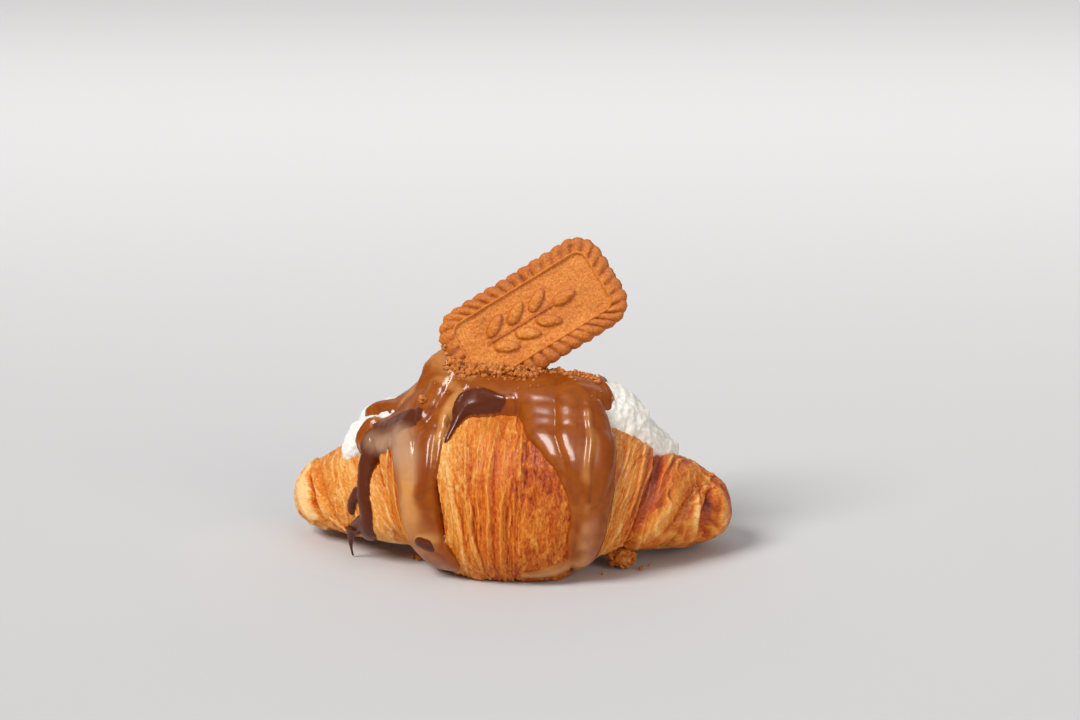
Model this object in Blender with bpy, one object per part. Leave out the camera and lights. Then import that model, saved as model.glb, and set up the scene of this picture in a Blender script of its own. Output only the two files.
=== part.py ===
"""A butter croissant, split along its top, filled with whipped cream and poured over with biscuit-spread
sauce and chocolate sauce. A caramelised biscuit stands in the cream.

Metres, +Z up, X along the chord between the tips, the front (the convex side of the crescent) at -Y.
The origin is the bottom centre of the whole.
"""

import math

import bmesh
import bpy
import numpy as np
from mathutils import Matrix, Vector

MM = 0.001
GAP = 0.35 * MM  # clearance between touching pieces

# ---- The roll: a crescent that is thick in the middle and closes at two tips
TIP_X = 71.5 * MM  # from the middle to a tip, along the chord
AXIS_Y = -5 * MM  # where the roll's axis crosses X = 0
SAG = 32 * MM  # how far back the tips lie
SKEW = 9 * MM  # the left tip lies further back than the right one by twice this
AXIS_Z = 21 * MM  # height of the axis in the middle
AXIS_Z_TIP = 12 * MM  # and at the tips
HALF_WIDTH = 35 * MM
CROWN = 33 * MM  # from the axis up to the crust's top, in the middle
BELLY = 0.3  # the middle section would reach this share of the axis height below the table
TAPER = 0.45  # share of the width that is lost towards the tips, before they round off
CLEAR = 4 * MM  # height above the table of the underside between the middle and the tips
SECTION_POWER = 2.25  # 2 is an ellipse; more is squarer

# ---- The wraps of dough: each ends in a lip towards the tip, and the next comes out from under it
WRAP_EDGES = (-66 * MM, -46 * MM, -21 * MM, 22 * MM, 49 * MM, 67 * MM)
BANDS = (
    (WRAP_EDGES[3], WRAP_EDGES[4]), (WRAP_EDGES[4], WRAP_EDGES[5]), (WRAP_EDGES[5], TIP_X),
    (WRAP_EDGES[2], WRAP_EDGES[1]), (WRAP_EDGES[1], WRAP_EDGES[0]), (WRAP_EDGES[0], -TIP_X),
)  # from the lip that a wrap comes out under to its own lip
LIP = 4.6 * MM  # depth of the step at a wrap's edge
TIP_LIP = 0.5  # and the share of it at the edges nearest the tips
SLANT, SLANT_END = 0.25, 0.40  # how much nearer the middle an edge lies at the front than on top
BENT_EDGES = (
    (-20 * MM, 7 * MM, 2.5 * MM, 40), (23 * MM, 7 * MM, 4 * MM, 45),
    (50 * MM, 7 * MM, 4 * MM, 10), (66 * MM, 6 * MM, -5.5 * MM, 35),
)  # where the edges bend at the front: about there, over that, by that much, below that angle from the top
BEND_STEPS = 24  # rounds in which an edge's bent place is found
LAYER = 0.55 * MM  # relief of the flaky layers inside a wrap

HOLLOW = (65.5 * MM, 1.45, 2.6 * MM, 0.42, 1.4 * MM)  # place, angle, half length, half angle and depth

# ---- The cut along the top and the cream in it
CREAM_END = 58.5 * MM  # the cream runs this far to both sides of the middle
CREAM_HALF_WIDTH = 12.5 * MM
CREST = (
    (-58.5, 30), (-54, 43), (-47, 50), (-36, 54), (-29, 64.5), (-22, 67.5), (-6, 64), (17, 62.5), (31, 61.5),
    (43.5, 54.8), (51.3, 42), (58.5, 35.5),
)  # height of the cream's top above the table, along the chord, in mm
CREAM_DEPTH = 23 * MM  # from the cream's middle line down to the bottom of the cut
CREAM_SINK = 3.5 * MM  # the cream's middle line lies this far under the crust's top
CREAM_BACK = 3.4 * MM  # and this far behind the roll's axis
LOBE = (-44.2 * MM, 9 * MM, -3.2 * MM)  # cream that has welled out: along, to the front, over the crust's top
LOBE_SIZE = (6.6 * MM, 8.5 * MM, 9.4 * MM)

# ---- The sauces: streams, each a chain of wrap coordinate, angle from the top, half width and thickness
SPREAD = (
    ((-35, 0, 6, 1.8), (-28, 0, 9.5, 2.2), (-15, 1, 15, 2.4), (0, 2, 16.5, 2.4), (13, 2, 15.5, 2.4),
     (22, 3, 10, 2.2), (27.5, 5, 6, 1.8)),  # over the cream
    ((-21, 16, 7, 2.2), (-14, 15, 6, 2)),  # between that and the wrap in the middle
    ((-27.6, 0, 4.4, 6), (-22.8, -3, 4.6, 7.4)),  # a knob beside the biscuit's end
    ((-30, 8, 6, 1.8), (-36, 5, 3.4, 1.8), (-42, 4.5, 2.8, 1.8), (-46.5, 4, 2.6, 1.8),
     (-48.8, 6.5, 2.4, 1.6)),  # a short finger to the left, hooked at its end
    ((-29, 14, 8, 2), (-35, 20.5, 5.5, 2), (-41, 23.5, 4, 1.9), (-46, 27, 3.8, 1.9), (-49.4, 34, 3.4, 1.8),
     (-49.4, 41, 3, 1.6)),  # the shoulder
    ((-25, 9, 10, 2.2), (-28, 27, 10, 2.2), (-28, 45, 9.2, 2.2), (-28, 62, 8, 2.2), (-28, 78, 7.4, 2.1),
     (-28, 96, 7.4, 2.2), (-26.5, 108, 8, 2.4), (-21, 119, 8.4, 2.4)),  # down the hollow on the left
    ((15, 6, 14, 2.4), (19, 26, 14.6, 2.3), (24, 43, 11.8, 2.2), (28.4, 62, 8.4, 2.2), (30.6, 78, 6.8, 2.1),
     (31.6, 93, 6.2, 2), (32, 109, 5.8, 2.2)),  # the broad one on the right, narrowing as it falls
    ((32, 111, 4, 1.8), (25, 116, 3.6, 1.2), (17, 119, 3.2, 1.2), (10, 120.5, 2.8, 1)),  # along the foot
    ((-31, -12, 9, 2.2), (-32, -38, 7, 2.2), (-31, -62, 5, 2.1), (-30, -80, 5.4, 2.3)),  # three at the back
    ((2, -14, 12, 2.4), (2, -38, 7, 2.2), (3, -62, 4.6, 2.1), (3, -88, 5, 2.3)),
    ((21, -10, 11, 2.3), (25, -34, 9, 2.2), (29, -58, 6, 2.2), (30, -84, 4.8, 2.1), (29, -106, 5.4, 2.3)),
)
CHOCOLATE = (
    ((-0.4, 13, 2, 1), (-4, 11.5, 3, 1.3), (-9, 12, 4, 1.5), (-13, 16, 3.4, 1.4), (-15.7, 26, 2.8, 1.4),
     (-16.9, 40, 2.4, 1.3)),  # a swirl along the top of the middle wrap and down its left edge
    ((-27.6, 26, 3, 1.2), (-33, 27, 4, 1.4), (-39, 31, 5.6, 1.6), (-44.5, 34, 5.4, 1.7),
     (-48.6, 42, 4.4, 1.8), (-51.4, 53, 3.8, 1.9), (-53.2, 66, 3.5, 1.9), (-54.4, 78, 3.4, 1.9), (-55, 90, 3.4, 1.9),
     (-56, 98, 3.6, 1.9), (-57, 106, 3.6, 1.9), (-57.8, 113, 3, 1.8)),  # down the left side
    ((-57, 97, 2.8, 1.7), (-59.4, 104, 2.8, 1.7), (-60.4, 110, 2.6, 1.7)),  # and out to the thread
    ((-56, 76, 2.6, 1.7), (-58.6, 86, 2.6, 1.7)),
    ((-7, -12, 3, 1.4), (-10, -30, 3, 1.4), (-12, -52, 2.8, 1.4), (-12.5, -74, 2.6, 1.4),
     (-12, -90, 3.2, 1.6)),  # and at the back
)
THREAD_TOP = (-60, 107)  # wrap coordinate and angle where a thread of chocolate leaves the stream on the left
THREAD_FOOT = (-54 * MM, -3 * MM, 1 * MM)  # where it ends, just above the table
THREAD = 0.8 * MM, 0.35 * MM  # its radius at both ends
EASE = 3.2 * MM  # how far the sauce bridges the edges of the wraps
BRIDGE = [d * MM for d in (-6, -4.5, -3, -1.5, 0, 1.5, 3, 4.5, 6)]  # where the wraps are sampled for that
NEAR = [(dw, turn) for dw in (-4, -2, 0, 2, 4) for turn in (-14, -7, 0, 7, 14)]  # and the filled roll
THIN = 0.15 * MM  # a sheet of sauce is either this thick or absent
SAUCE_DIP = 1.5 * MM  # how far the poured body dips under the crust where there is no sauce
DARK_RINGS = (
    (34, 42, 53, 66, 78, 90, 98, 106, 120), (8.4, 6.4, 3.6, 1.8, 0.6, 0, -1, -1.8, -1.8), (-63, -55, -38),
)  # at these angles the ring at -55 mm is pushed by this much, along the dark stream, and those beside it less
RING_APART = 0.7 * MM  # rings are nowhere closer than this at the bends of the cream's crest

# ---- The biscuit
BISCUIT_LONG, BISCUIT_WIDE, BISCUIT_THICK = 62 * MM, 33 * MM, 7.5 * MM
BISCUIT_AT = (7 * MM, 5.5 * MM, 81.2 * MM)
BISCUIT_TILT, BISCUIT_LEAN, BISCUIT_TURN = 33, 20, 5  # degrees: right end up, back, and face to the left
CORNER = 9 * MM
SCALLOPS, SCALLOP = 40, 0.6 * MM  # lobes round the edge, and how far each stands out
RIM = 5.2 * MM  # between the edge and the sunk panel
PANEL_SUNK = 0.9 * MM
GRAINS, GRAIN_STEP, GRAIN_SPREAD, GRAIN_TURN = 3, 8.2 * MM, 4 * MM, 32  # pairs on the raised ear of wheat
GRAIN_SIZE = (4.6 * MM, 2.1 * MM, 1.3 * MM)

DEG = math.pi / 180


def smooth(x):
    """0 below 0, 1 above 1, and an S between."""
    x = np.clip(x, 0, 1)
    return x * x * (3 - 2 * x)


def turn_share(phi):
    """How far an edge has slid towards the middle at angle phi; 0 on top and under the base."""
    slid = np.where(phi > 0, 1.25, 1.0) * np.sin(0.69 * phi)
    return slid * (1 - smooth((np.abs(phi) - 130 * DEG) / (50 * DEG)))


def along_axis(w, phi):
    """The place along the chord of the point that lies at wrap coordinate w and angle phi."""
    x = np.abs(w)
    slant = SLANT + (SLANT_END - SLANT) * smooth((x - 18 * MM) / (32 * MM))
    fade = 1 - (x / TIP_X) ** np.where(phi > 0, 6.0, 2.2)
    return w - slant * w * fade * turn_share(phi)


def roll_section(a):
    """Centre (y, z), half width, height above and below the centre, and slope of the axis at a."""
    u = np.clip(a / TIP_X, -1, 1)
    n = np.abs(u)
    y = AXIS_Y + SAG * u * u - SKEW * u
    slope = (2 * SAG * u - SKEW) / TIP_X
    z = AXIS_Z + (AXIS_Z_TIP - AXIS_Z) * n * n
    blunt = (1 - n**11) ** 0.5
    width = HALF_WIDTH * (1 - TAPER * smooth(n * 1.1)) * blunt
    up = CROWN * (1 - 0.47 * smooth((n - 0.25) / 0.65)) * blunt
    clear = CLEAR * smooth((n - 0.22) / 0.2) * (1 - smooth((n - 0.45) / 0.5))
    down = (z * (1 + BELLY * (1 - smooth((n - 0.2) / 0.14))) - clear) * blunt
    return y, z, width, up, down, slope


def wrap_relief(w):
    """How far the crust lies under the full section, from the pillow form of each wrap."""
    depth = np.zeros_like(w)
    left, right = WRAP_EDGES[2], WRAP_EDGES[3]
    middle, half = (left + right) / 2, (right - left) / 2
    q = np.abs(w - middle) / half
    inside = q <= 1
    depth[inside] = 0.30 * smooth((q[inside] - 0.55) / 0.45)
    for start, end in BANDS:
        q = (w - start) / (end - start)
        here = (q > 0) & (q <= 1.0001)
        rise = 1 - (1 - np.clip(q[here] / 0.5, 0, 1)) ** 2
        fall = 1 - 0.30 * smooth((q[here] - 0.7) / 0.3)
        depth[here] = (1 - rise * fall) * (1 if abs(end) < TIP_X else TIP_LIP)
    return depth * LIP


def bend(w, phi):
    """How far the edges' bends push a point along the roll."""
    return sum(
        by * smooth((phi / DEG - below) / 50) * np.exp(-(((w - at) / over) ** 2))
        for at, over, by, below in BENT_EDGES)


def bent_place(w, phi):
    """Where a ring lies that would be at w if no edge were bent; past the last edge they share the rest."""
    edge = WRAP_EDGES[5]
    at = start = np.minimum(w, edge)
    for _ in range(BEND_STEPS):
        at = np.clip(start + bend(at, phi), -TIP_X, TIP_X)
    at = at + np.maximum(w - edge, 0) / (TIP_X - edge) * (TIP_X - at)
    return np.where(np.abs(w) > TIP_X * 0.9999, w, at)


def crust_radius(w, phi, relief=wrap_relief):
    """Distance from the roll's axis to the crust."""
    y, z, width, up, down, slope = roll_section(along_axis(w, phi))
    c, s = np.cos(phi), np.sin(phi)
    tall = np.where(c > 0, up, down) + 1e-9
    n = SECTION_POWER
    r = (np.abs(s / (width + 1e-9)) ** n + np.abs(c / tall) ** n) ** (-1 / n)
    r = r - relief(np.clip(w - bend(w, phi), -TIP_X, TIP_X)) * np.minimum(1, r / (24 * MM))
    floor = np.where(c < -1e-6, z / np.maximum(-c, 1e-6), 1.0)
    return np.minimum(np.maximum(r, 0), floor)


def hollow(w, phi):
    """Depth of the hollow in the end of the roll at the right, where the dough's spiral starts."""
    along, round_ = (w - HOLLOW[0]) / HOLLOW[2], (phi - HOLLOW[1]) / HOLLOW[3]
    return HOLLOW[4] * np.exp(-(along**2 + round_**2))


def place(w, phi, r):
    """The point at distance r from the axis."""
    a = along_axis(w, phi)
    y, z, _, _, _, slope = roll_section(a)
    run = np.sqrt(1 + slope * slope)
    across = r * np.sin(phi)
    return np.stack([a + across * slope / run, y - across / run, z + r * np.cos(phi)], -1)


def cream_form(a, dome):
    """Middle (to the front, above the axis), half width, rise and depth of the cream at a."""
    _, z, _, up, _, _ = roll_section(a)
    if dome:
        q = np.clip((a - LOBE[0]) / LOBE_SIZE[0], -1, 1)
        t = np.sqrt(1 - q * q) + 1e-6
        return LOBE[1], up + LOBE[2], t * LOBE_SIZE[1], t * LOBE_SIZE[2], t * LOBE_SIZE[2]
    q = np.clip(a / CREAM_END, -1, 1)
    t = np.sqrt(1 - q**4) + 1e-6
    at, high = np.array(CREST).T * MM
    rise = np.maximum(np.interp(a, at, high) - (z + up - CREAM_SINK), 1 * MM)
    return -CREAM_BACK, up - CREAM_SINK, t * CREAM_HALF_WIDTH, rise, t * CREAM_DEPTH


def cream_reach(a, phi, dome):
    """Distance from the roll's axis to the cream's upper side in the direction phi; 0 where there is none."""
    ahead, above, half, rise, _ = cream_form(a, dome)
    s, c = np.sin(phi), np.cos(phi)
    qa = (s / half) ** 2 + (c / rise) ** 2
    qb = -2 * (ahead * s / half**2 + above * c / rise**2)
    qc = (ahead / half) ** 2 + (above / rise) ** 2 - 1
    disc = qb * qb - 4 * qa * qc
    return np.where(disc > 0, (-qb + np.sqrt(np.maximum(disc, 0))) / (2 * qa), 0.0)


def soft_max(p, q, k):
    """The greater of two, with the corner between them filled over about k."""
    h = np.maximum(k - np.abs(p - q), 0) / k
    return np.maximum(p, q) + h * h * k * 0.25


def eased_relief(w):
    """The wraps' relief with its steps smoothed out, as the sauce fills them."""
    weights = [math.exp(-((d / EASE) ** 2)) for d in BRIDGE]
    return sum(k * wrap_relief(np.clip(w + d, -TIP_X, TIP_X)) for k, d in zip(weights, BRIDGE)) / sum(weights)


def filled_radius(w, phi, lobe=True, relief=wrap_relief):
    """Distance from the axis to the crust or to the cream over it: what the sauce lies on."""
    a = along_axis(w, phi)
    main = np.where(np.abs(a) < CREAM_END, cream_reach(a, phi, False), 0)
    r = soft_max(crust_radius(w, phi, relief), main, 3 * MM)
    if lobe:
        r = soft_max(r, np.where(np.abs(a - LOBE[0]) < LOBE_SIZE[0], cream_reach(a, phi, True), 0), 2 * MM)
    return r


def stream_segments(streams):
    """The streams as short straight pieces: ends in space, half widths and thicknesses."""
    rows = []
    for stream in streams:
        nodes = np.array(stream, float)
        for one, two in zip(nodes[:-1], nodes[1:]):
            for k in range(4):
                rows.append(np.concatenate([one + (two - one) * k / 4, one + (two - one) * (k + 1) / 4]))
    rows = np.array(rows)
    ends = []
    for c in (0, 4):
        w, phi = rows[:, c] * MM, rows[:, c + 1] * DEG
        ends.append(place(w, phi, filled_radius(w, phi, lobe=False)))
    return ends[0], ends[1], rows[:, [2, 6]] * MM, rows[:, [3, 7]] * MM


def stream_height(points, streams, edge, k=1.2 * MM):
    """Thickness of the sauce over each point; below 0 outside the streams. edge says how steeply they end."""
    total = np.full(len(points), -SAUCE_DIP)
    for stream in streams:
        start, end, half, thick = stream_segments((stream,))
        best = np.full(len(points), -SAUCE_DIP)
        for a, b, h, t in zip(start, end, half, thick):
            line = b - a
            q = np.clip((points - a) @ line / (line @ line + 1e-12), 0, 1)
            d = np.linalg.norm(points - a - q[:, None] * line, axis=1)
            width = h[0] + (h[1] - h[0]) * q
            x = d / width
            best = np.maximum(best, (t[0] + (t[1] - t[0]) * q) * (1 - x**edge))
        both = smooth(np.minimum(total, best) / MM + 1)
        total = np.maximum(total, best) + both * (soft_max(total, best, k) - np.maximum(total, best))
    return np.where(np.abs(total) < THIN, np.where(total < 0, -THIN, THIN), total)


def sauce_top(w, phi):
    """Distance from the axis to the sauces; where there are none, it lies inside what carries them."""
    r = filled_radius(w, phi)
    points = place(w, phi, filled_radius(w, phi, lobe=False)).reshape(-1, 3)
    spread = stream_height(points, SPREAD, 3).reshape(w.shape)
    dark = stream_height(points, CHOCOLATE, 2, 0.6 * MM).reshape(w.shape)
    t = np.maximum(dark, spread + 0.45 * np.maximum(dark, 0) * (spread > 0))
    around = [filled_radius(w + dw * MM, phi + turn * DEG, relief=eased_relief) for dw, turn in NEAR]
    near = np.mean(around, axis=0)
    bridged = np.maximum((0.45 - 0.05 * t / MM) * t, t + (near - r) * smooth(t / (1.5 * MM)))
    return above_table(w, phi, r + GAP + np.where(t > 0, bridged, t))


def above_table(w, phi, r):
    """Keeps a radius from reaching lower than just above the table."""
    z, c = roll_section(along_axis(w, phi))[1], np.cos(phi)
    return np.where(c < -0.01, np.minimum(r, (z - 0.3 * MM) / np.maximum(-c, 0.01)), r)


def layers(w, phi):
    """Relief of the flaky layers, cut into the crust."""
    wave = w / (2.9 * MM) + 0.35 * np.sin(3 * phi + w / (11 * MM)) + 0.2 * np.sin(7 * phi)
    return LAYER * (0.5 - 0.5 * np.cos(2 * np.pi * wave))


# ---- The objects
for ob in list(bpy.data.objects):
    bpy.data.objects.remove(ob)
whole = bpy.data.collections.new("chocolate_croissant")
tools = bpy.data.collections.new("cutters")
for group in (whole, tools):
    bpy.context.scene.collection.children.link(group)


def material(name, colour, rough):
    m = bpy.data.materials.new(name)
    m.use_nodes = True
    shader = m.node_tree.nodes["Principled BSDF"]
    shader.inputs["Base Color"].default_value = (*colour, 1)
    shader.inputs["Roughness"].default_value = rough
    m.diffuse_color = (*colour, 1)
    return m


def make(name, bm, group, surface=None):
    """An object of the mesh, faces outward."""
    bmesh.ops.recalc_face_normals(bm, faces=bm.faces)
    if bm.calc_volume(signed=True) < 0:
        bmesh.ops.reverse_faces(bm, faces=bm.faces)
    mesh = bpy.data.meshes.new(name)
    bm.to_mesh(mesh)
    bm.free()
    ob = bpy.data.objects.new(name, mesh)
    group.objects.link(ob)
    if group is tools:
        ob.hide_render = True
        ob.display_type = "WIRE"
    if surface:
        mesh.materials.append(surface)
    return ob


def warped_ball(rings, turns, form):
    """A ball whose rings lie at the places in rings, its ends included, and its meridians at the angles in
    turns; form gives the points for arrays of place and angle."""
    n, m = len(rings) - 1, len(turns)
    bm = bmesh.new()
    bmesh.ops.create_uvsphere(bm, u_segments=m, v_segments=n, radius=1)
    co = np.array([v.co for v in bm.verts])
    ring = np.rint(np.arccos(np.clip(co[:, 2], -1, 1)) / np.pi * n).astype(int)
    turn = np.rint(np.arctan2(co[:, 1], co[:, 0]) / (2 * np.pi) * m).astype(int) % m
    turn[(ring == 0) | (ring == n)] = 0
    placed = form(np.array(rings)[ring], np.array(turns)[turn])
    for v, point in zip(bm.verts, placed):
        v.co = point
    return bm


def combine(ob, other, kind, solver="MANIFOLD"):
    """Cuts the other body out of the object, or joins it to the object."""
    mod = ob.modifiers.new(kind.lower(), "BOOLEAN")
    mod.operation = kind
    mod.object = other
    mod.solver = solver
    settle(ob)


def settle(ob):
    """Takes the modifiers' result as the mesh and keeps the largest body of it."""
    graph = bpy.context.evaluated_depsgraph_get()
    mesh = bpy.data.meshes.new_from_object(ob.evaluated_get(graph))
    ob.modifiers.clear()
    bm = bmesh.new()
    bm.from_mesh(mesh)
    left, bodies = set(bm.verts), []
    while left:
        seed = left.pop()
        body, edge = [seed], [seed]
        while edge:
            v = edge.pop()
            for e in v.link_edges:
                o = e.other_vert(v)
                if o in left:
                    left.discard(o)
                    body.append(o)
                    edge.append(o)
        bodies.append(body)
    bodies.sort(key=len, reverse=True)
    for body in bodies[1:]:
        bmesh.ops.delete(bm, geom=body, context="VERTS")
    bmesh.ops.triangulate(bm, faces=bm.faces)
    bm.to_mesh(mesh)
    bm.free()
    ob.data = mesh


def spaced(start, end, step):
    return list(np.linspace(start, end, max(2, round(abs(end - start) / step) + 1)))


def with_more(rings, step):
    """The rings in order, with more between them wherever they are further apart than the step."""
    rings = sorted(rings)
    more = []
    for a, b in zip(rings[:-1], rings[1:]):
        more += spaced(a, b, step)[:-1] if b - a > 1.3 * step else [a]
    return more + [rings[-1]]


# ---- The croissant: rings closer together at the lips
crust_rings = [-TIP_X, TIP_X]
mid, half = (WRAP_EDGES[2] + WRAP_EDGES[3]) / 2, (WRAP_EDGES[3] - WRAP_EDGES[2]) / 2
for q in (0.08, 0.24, 0.4, 0.55, 0.7, 0.85, 0.96, 1):
    crust_rings += [mid - q * half, mid + q * half]
for start, end in BANDS:
    ends = abs(end) == TIP_X
    for q in (0.08, 0.25, 0.5, 0.75, 0.93) if ends else (0.03, 0.12, 0.28, 0.48, 0.7, 0.88, 1):
        crust_rings.append(start + q * (end - start))
crust_rings.sort()
crust_turns = list(np.linspace(-math.pi, math.pi, 33)[:-1])


def crust_form(w, phi, grown=0):
    w = bent_place(w, phi)
    r = crust_radius(w, phi)
    ends = np.abs(w) > TIP_X * 0.9999
    r = np.where(ends, 0, r - layers(w, phi) * smooth(r / (20 * MM)) * (np.cos(phi) > -0.8) - hollow(w, phi))
    return place(w, phi, r + grown * ~ends)


def grown_crust(w, phi):
    return crust_form(w, phi, 0.5 * GAP)


croissant = make("croissant", warped_ball(crust_rings, crust_turns, crust_form), whole,
                 material("crust", (0.55, 0.24, 0.07), 0.55))

# ---- The whipped cream: a long swell with a pointed keel in the cut, and the lobe that has welled out
def cream_ball(dome, grown):
    def form(a, phi):
        ahead, above, half_wide, rise, deep = cream_form(a, dome)
        s, c = np.sin(phi), np.cos(phi)
        n = np.where(c > 0, 2.0, 2.0 if dome else 1.45)
        tall = np.where(c > 0, rise, deep)
        r = (np.abs(s / half_wide) ** n + np.abs(c / tall) ** n) ** (-1 / n)
        lumps = 0.5 + 0.3 * np.sin(a / (2.3 * MM) + 3 * phi) + 0.2 * np.sin(a / (1.3 * MM) - 2 * phi)
        pulled = 0 if grown else 0.9 * MM * lumps * (c > -0.2)
        tip = (a <= rings[0]) | (a >= rings[-1])
        r = np.where(tip, 0, np.maximum(r - pulled + grown, 0.2 * MM))
        y, z, _, _, _, slope = roll_section(a)
        run = np.sqrt(1 + slope * slope)
        across = ahead + r * s
        return np.stack([a + across * slope / run, y - across / run, z + above + r * c], -1)

    if dome:
        rings = list(LOBE[0] + LOBE_SIZE[0] * -np.cos(np.linspace(0, math.pi, 9)))
        turns = np.linspace(-math.pi, math.pi, 17)[:-1]
    else:
        rings = with_more([-0.99 * CREAM_END, *(x * MM for x, _ in CREST), 0.99 * CREAM_END], 5 * MM)
        turns = np.linspace(-math.pi, math.pi, 21)[:-1]
    if grown:
        rings = [rings[0] - grown, *rings, rings[-1] + grown]
    return warped_ball(rings, list(turns), form)


white = material("whipped_cream", (0.86, 0.83, 0.76), 0.6)
cream = make("whipped_cream", cream_ball(False, 0), whole, white)
lobe = make("cream_lobe", cream_ball(True, 0), tools)
combine(cream, lobe, "UNION")
cut = make("cream_cut", cream_ball(False, 1.3 * GAP), tools)
cut_lobe = make("cream_cut_lobe", cream_ball(True, 1.3 * GAP), tools)
combine(croissant, cut, "DIFFERENCE")
combine(croissant, cut_lobe, "DIFFERENCE")

# ---- The biscuit: a scalloped tablet with a rim, a sunk panel and a raised ear of wheat on it
def rounded(u, long, wide, corner, lobes):
    """Point of the tablet's scalloped outline at the share u of its length."""
    straight_x, straight_y, arc = long - 2 * corner, wide - 2 * corner, math.pi * corner / 2
    total = 2 * (straight_x + straight_y) + 4 * arc
    d = (u * total) % total
    for run, heading in ((straight_y, 90), (straight_x, 180), (straight_y, 270), (straight_x, 0)):
        ahead = Vector((math.cos(heading * DEG), math.sin(heading * DEG)))
        out = Vector((ahead.y, -ahead.x))
        start = Vector((out.x * long / 2, out.y * wide / 2)) - ahead * run / 2
        if d <= run:
            point = start + ahead * d
            break
        d -= run
        if d <= arc:
            turn = d / corner
            centre = start + ahead * run - out * corner
            out = out * math.cos(turn) + ahead * math.sin(turn)
            point = centre + out * corner
            break
        d -= arc
    else:
        point = start + ahead * run
    return point + out * lobes * (abs(math.sin(math.pi * SCALLOPS * u)) - 1)


def biscuit_body(grown=0.0):
    bm = bmesh.new()
    count = SCALLOPS * (1 if grown else 3)
    made = bmesh.ops.create_circle(bm, cap_ends=True, segments=count, radius=1)
    rim = sorted(made["verts"], key=lambda v: math.atan2(v.co.y, v.co.x) % (2 * math.pi))
    face = bm.faces[:][0]
    order = {v: k for k, v in enumerate(rim)}
    thick = BISCUIT_THICK
    if grown:
        steps = ((0, -grown, -grown - SCALLOP * 0.5), (0, thick + grown, -grown - SCALLOP * 0.5))
    else:
        steps = (
            (0.4, 0, 1.1 * MM), (1, 1.5 * MM, 0), (1, thick - 1.6 * MM, 0), (0.4, thick - 0.1 * MM, 1.6 * MM),
            (0, thick - 0.1 * MM, RIM - 0.8 * MM), (0, thick - PANEL_SUNK, RIM),
        )
    for k, (share, z, inset) in enumerate(steps):
        if k:
            grown_out = bmesh.ops.extrude_face_region(bm, geom=[face])
            fresh = [g for g in grown_out["geom"] if isinstance(g, bmesh.types.BMVert)]
            face_new = [g for g in grown_out["geom"] if isinstance(g, bmesh.types.BMFace)][0]
            partner = {}
            for v in fresh:
                for e in v.link_edges:
                    o = e.other_vert(v)
                    if o in order:
                        partner[v] = order[o]
            if face.is_valid and k > 1:
                bm.faces.remove(face)
            order, face = partner, face_new
        corner = max(CORNER - inset, 2.5 * MM)
        for v, j in order.items():
            long, wide = BISCUIT_LONG - 2 * inset, BISCUIT_WIDE - 2 * inset
            point = rounded(j / count, long, wide, corner, SCALLOP * share)
            v.co = (point.x, point.y, z - thick / 2)
    return bm


def stand(ob):
    """Stands the tablet up where it leans in the cream."""
    ob.data.transform(
        Matrix.Translation(BISCUIT_AT) @ Matrix.Rotation(-BISCUIT_TURN * DEG, 4, "Z")
        @ Matrix.Rotation((90 - BISCUIT_LEAN) * DEG, 4, "X") @ Matrix.Rotation(BISCUIT_TILT * DEG, 4, "Z")
    )


biscuit = make("biscuit", biscuit_body(), whole, material("biscuit", (0.42, 0.17, 0.045), 0.75))
for k in range(GRAINS + 1):
    for side in (-1, 1) if k < GRAINS else (0,):
        bm = bmesh.new()
        bmesh.ops.create_icosphere(bm, subdivisions=1, radius=1)
        lie = Matrix.Translation(
            ((k - GRAINS / 2) * GRAIN_STEP, side * GRAIN_SPREAD, BISCUIT_THICK / 2 - PANEL_SUNK))
        lie = lie @ Matrix.Rotation(side * GRAIN_TURN * DEG, 4, "Z")
        bm.transform(lie @ Matrix.Diagonal((*GRAIN_SIZE, 1)))
        combine(biscuit, make("grain", bm, tools), "UNION")
stand(biscuit)
slot = make("biscuit_cut", biscuit_body(GAP), tools)
stand(slot)
combine(cream, slot, "DIFFERENCE")

# ---- The sauces, one poured body: its upper side dips under the crust where there is none
def poured(name, rings, turns, surface_of, group, surface=None):
    def form(w, phi):
        ends = (w <= rings[0]) | (w >= rings[-1])
        pushed = np.interp(phi / DEG, DARK_RINGS[0], DARK_RINGS[1], ) * smooth((phi / DEG - 10) / 24)
        w = bent_place(w + pushed * MM * np.interp(w / MM, DARK_RINGS[2], (0, 1, 0)), phi)
        return place(w, phi, np.where(ends, 0, surface_of(w, phi)))

    return make(name, warped_ball(rings, turns, form), group, surface)


def between(start, end, step):
    """The crust's rings from start to end, those at the bends of the cream's crest, and more between them."""
    rings = [start] + [w for w in crust_rings if start < w < end] + [end]
    for x, _ in CREST:
        if start < x * MM < end and min(abs(x * MM - w) for w in rings) > RING_APART:
            rings.append(x * MM)
    return with_more(rings, step)


sauce_rings = between(-63 * MM, -45 * MM, 1.4 * MM) + between(-45 * MM, 46 * MM, 3 * MM)[1:]
sauce_turns = []  # the crust's meridians, and more between them at the front and on top
for one, two in zip(crust_turns, crust_turns[1:] + [math.pi]):
    sauce_turns += [one, (one + two) / 2] if -50 * DEG < one < 135 * DEG else [one]
spread = material("biscuit_spread", (0.42, 0.17, 0.035), 0.15)
sauce = poured("sauce", sauce_rings, sauce_turns, sauce_top, whole, spread)
sauce.data.materials.append(material("chocolate", (0.06, 0.022, 0.012), 0.2))
bed_rings = [sauce_rings[0] - 2.5 * MM] + sauce_rings + [sauce_rings[-1] + 2.5 * MM]
bed = poured("sauce_bed", bed_rings, sauce_turns, lambda w, phi: filled_radius(w, phi) + GAP, tools)
clear = make("cream_clearance", cream_ball(False, 0.5 * GAP), tools)
clear_lobe = make("cream_clearance_lobe", cream_ball(True, 0.5 * GAP), tools)
clear_crust = make("crust_clearance", warped_ball(crust_rings, crust_turns, grown_crust), tools)
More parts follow.
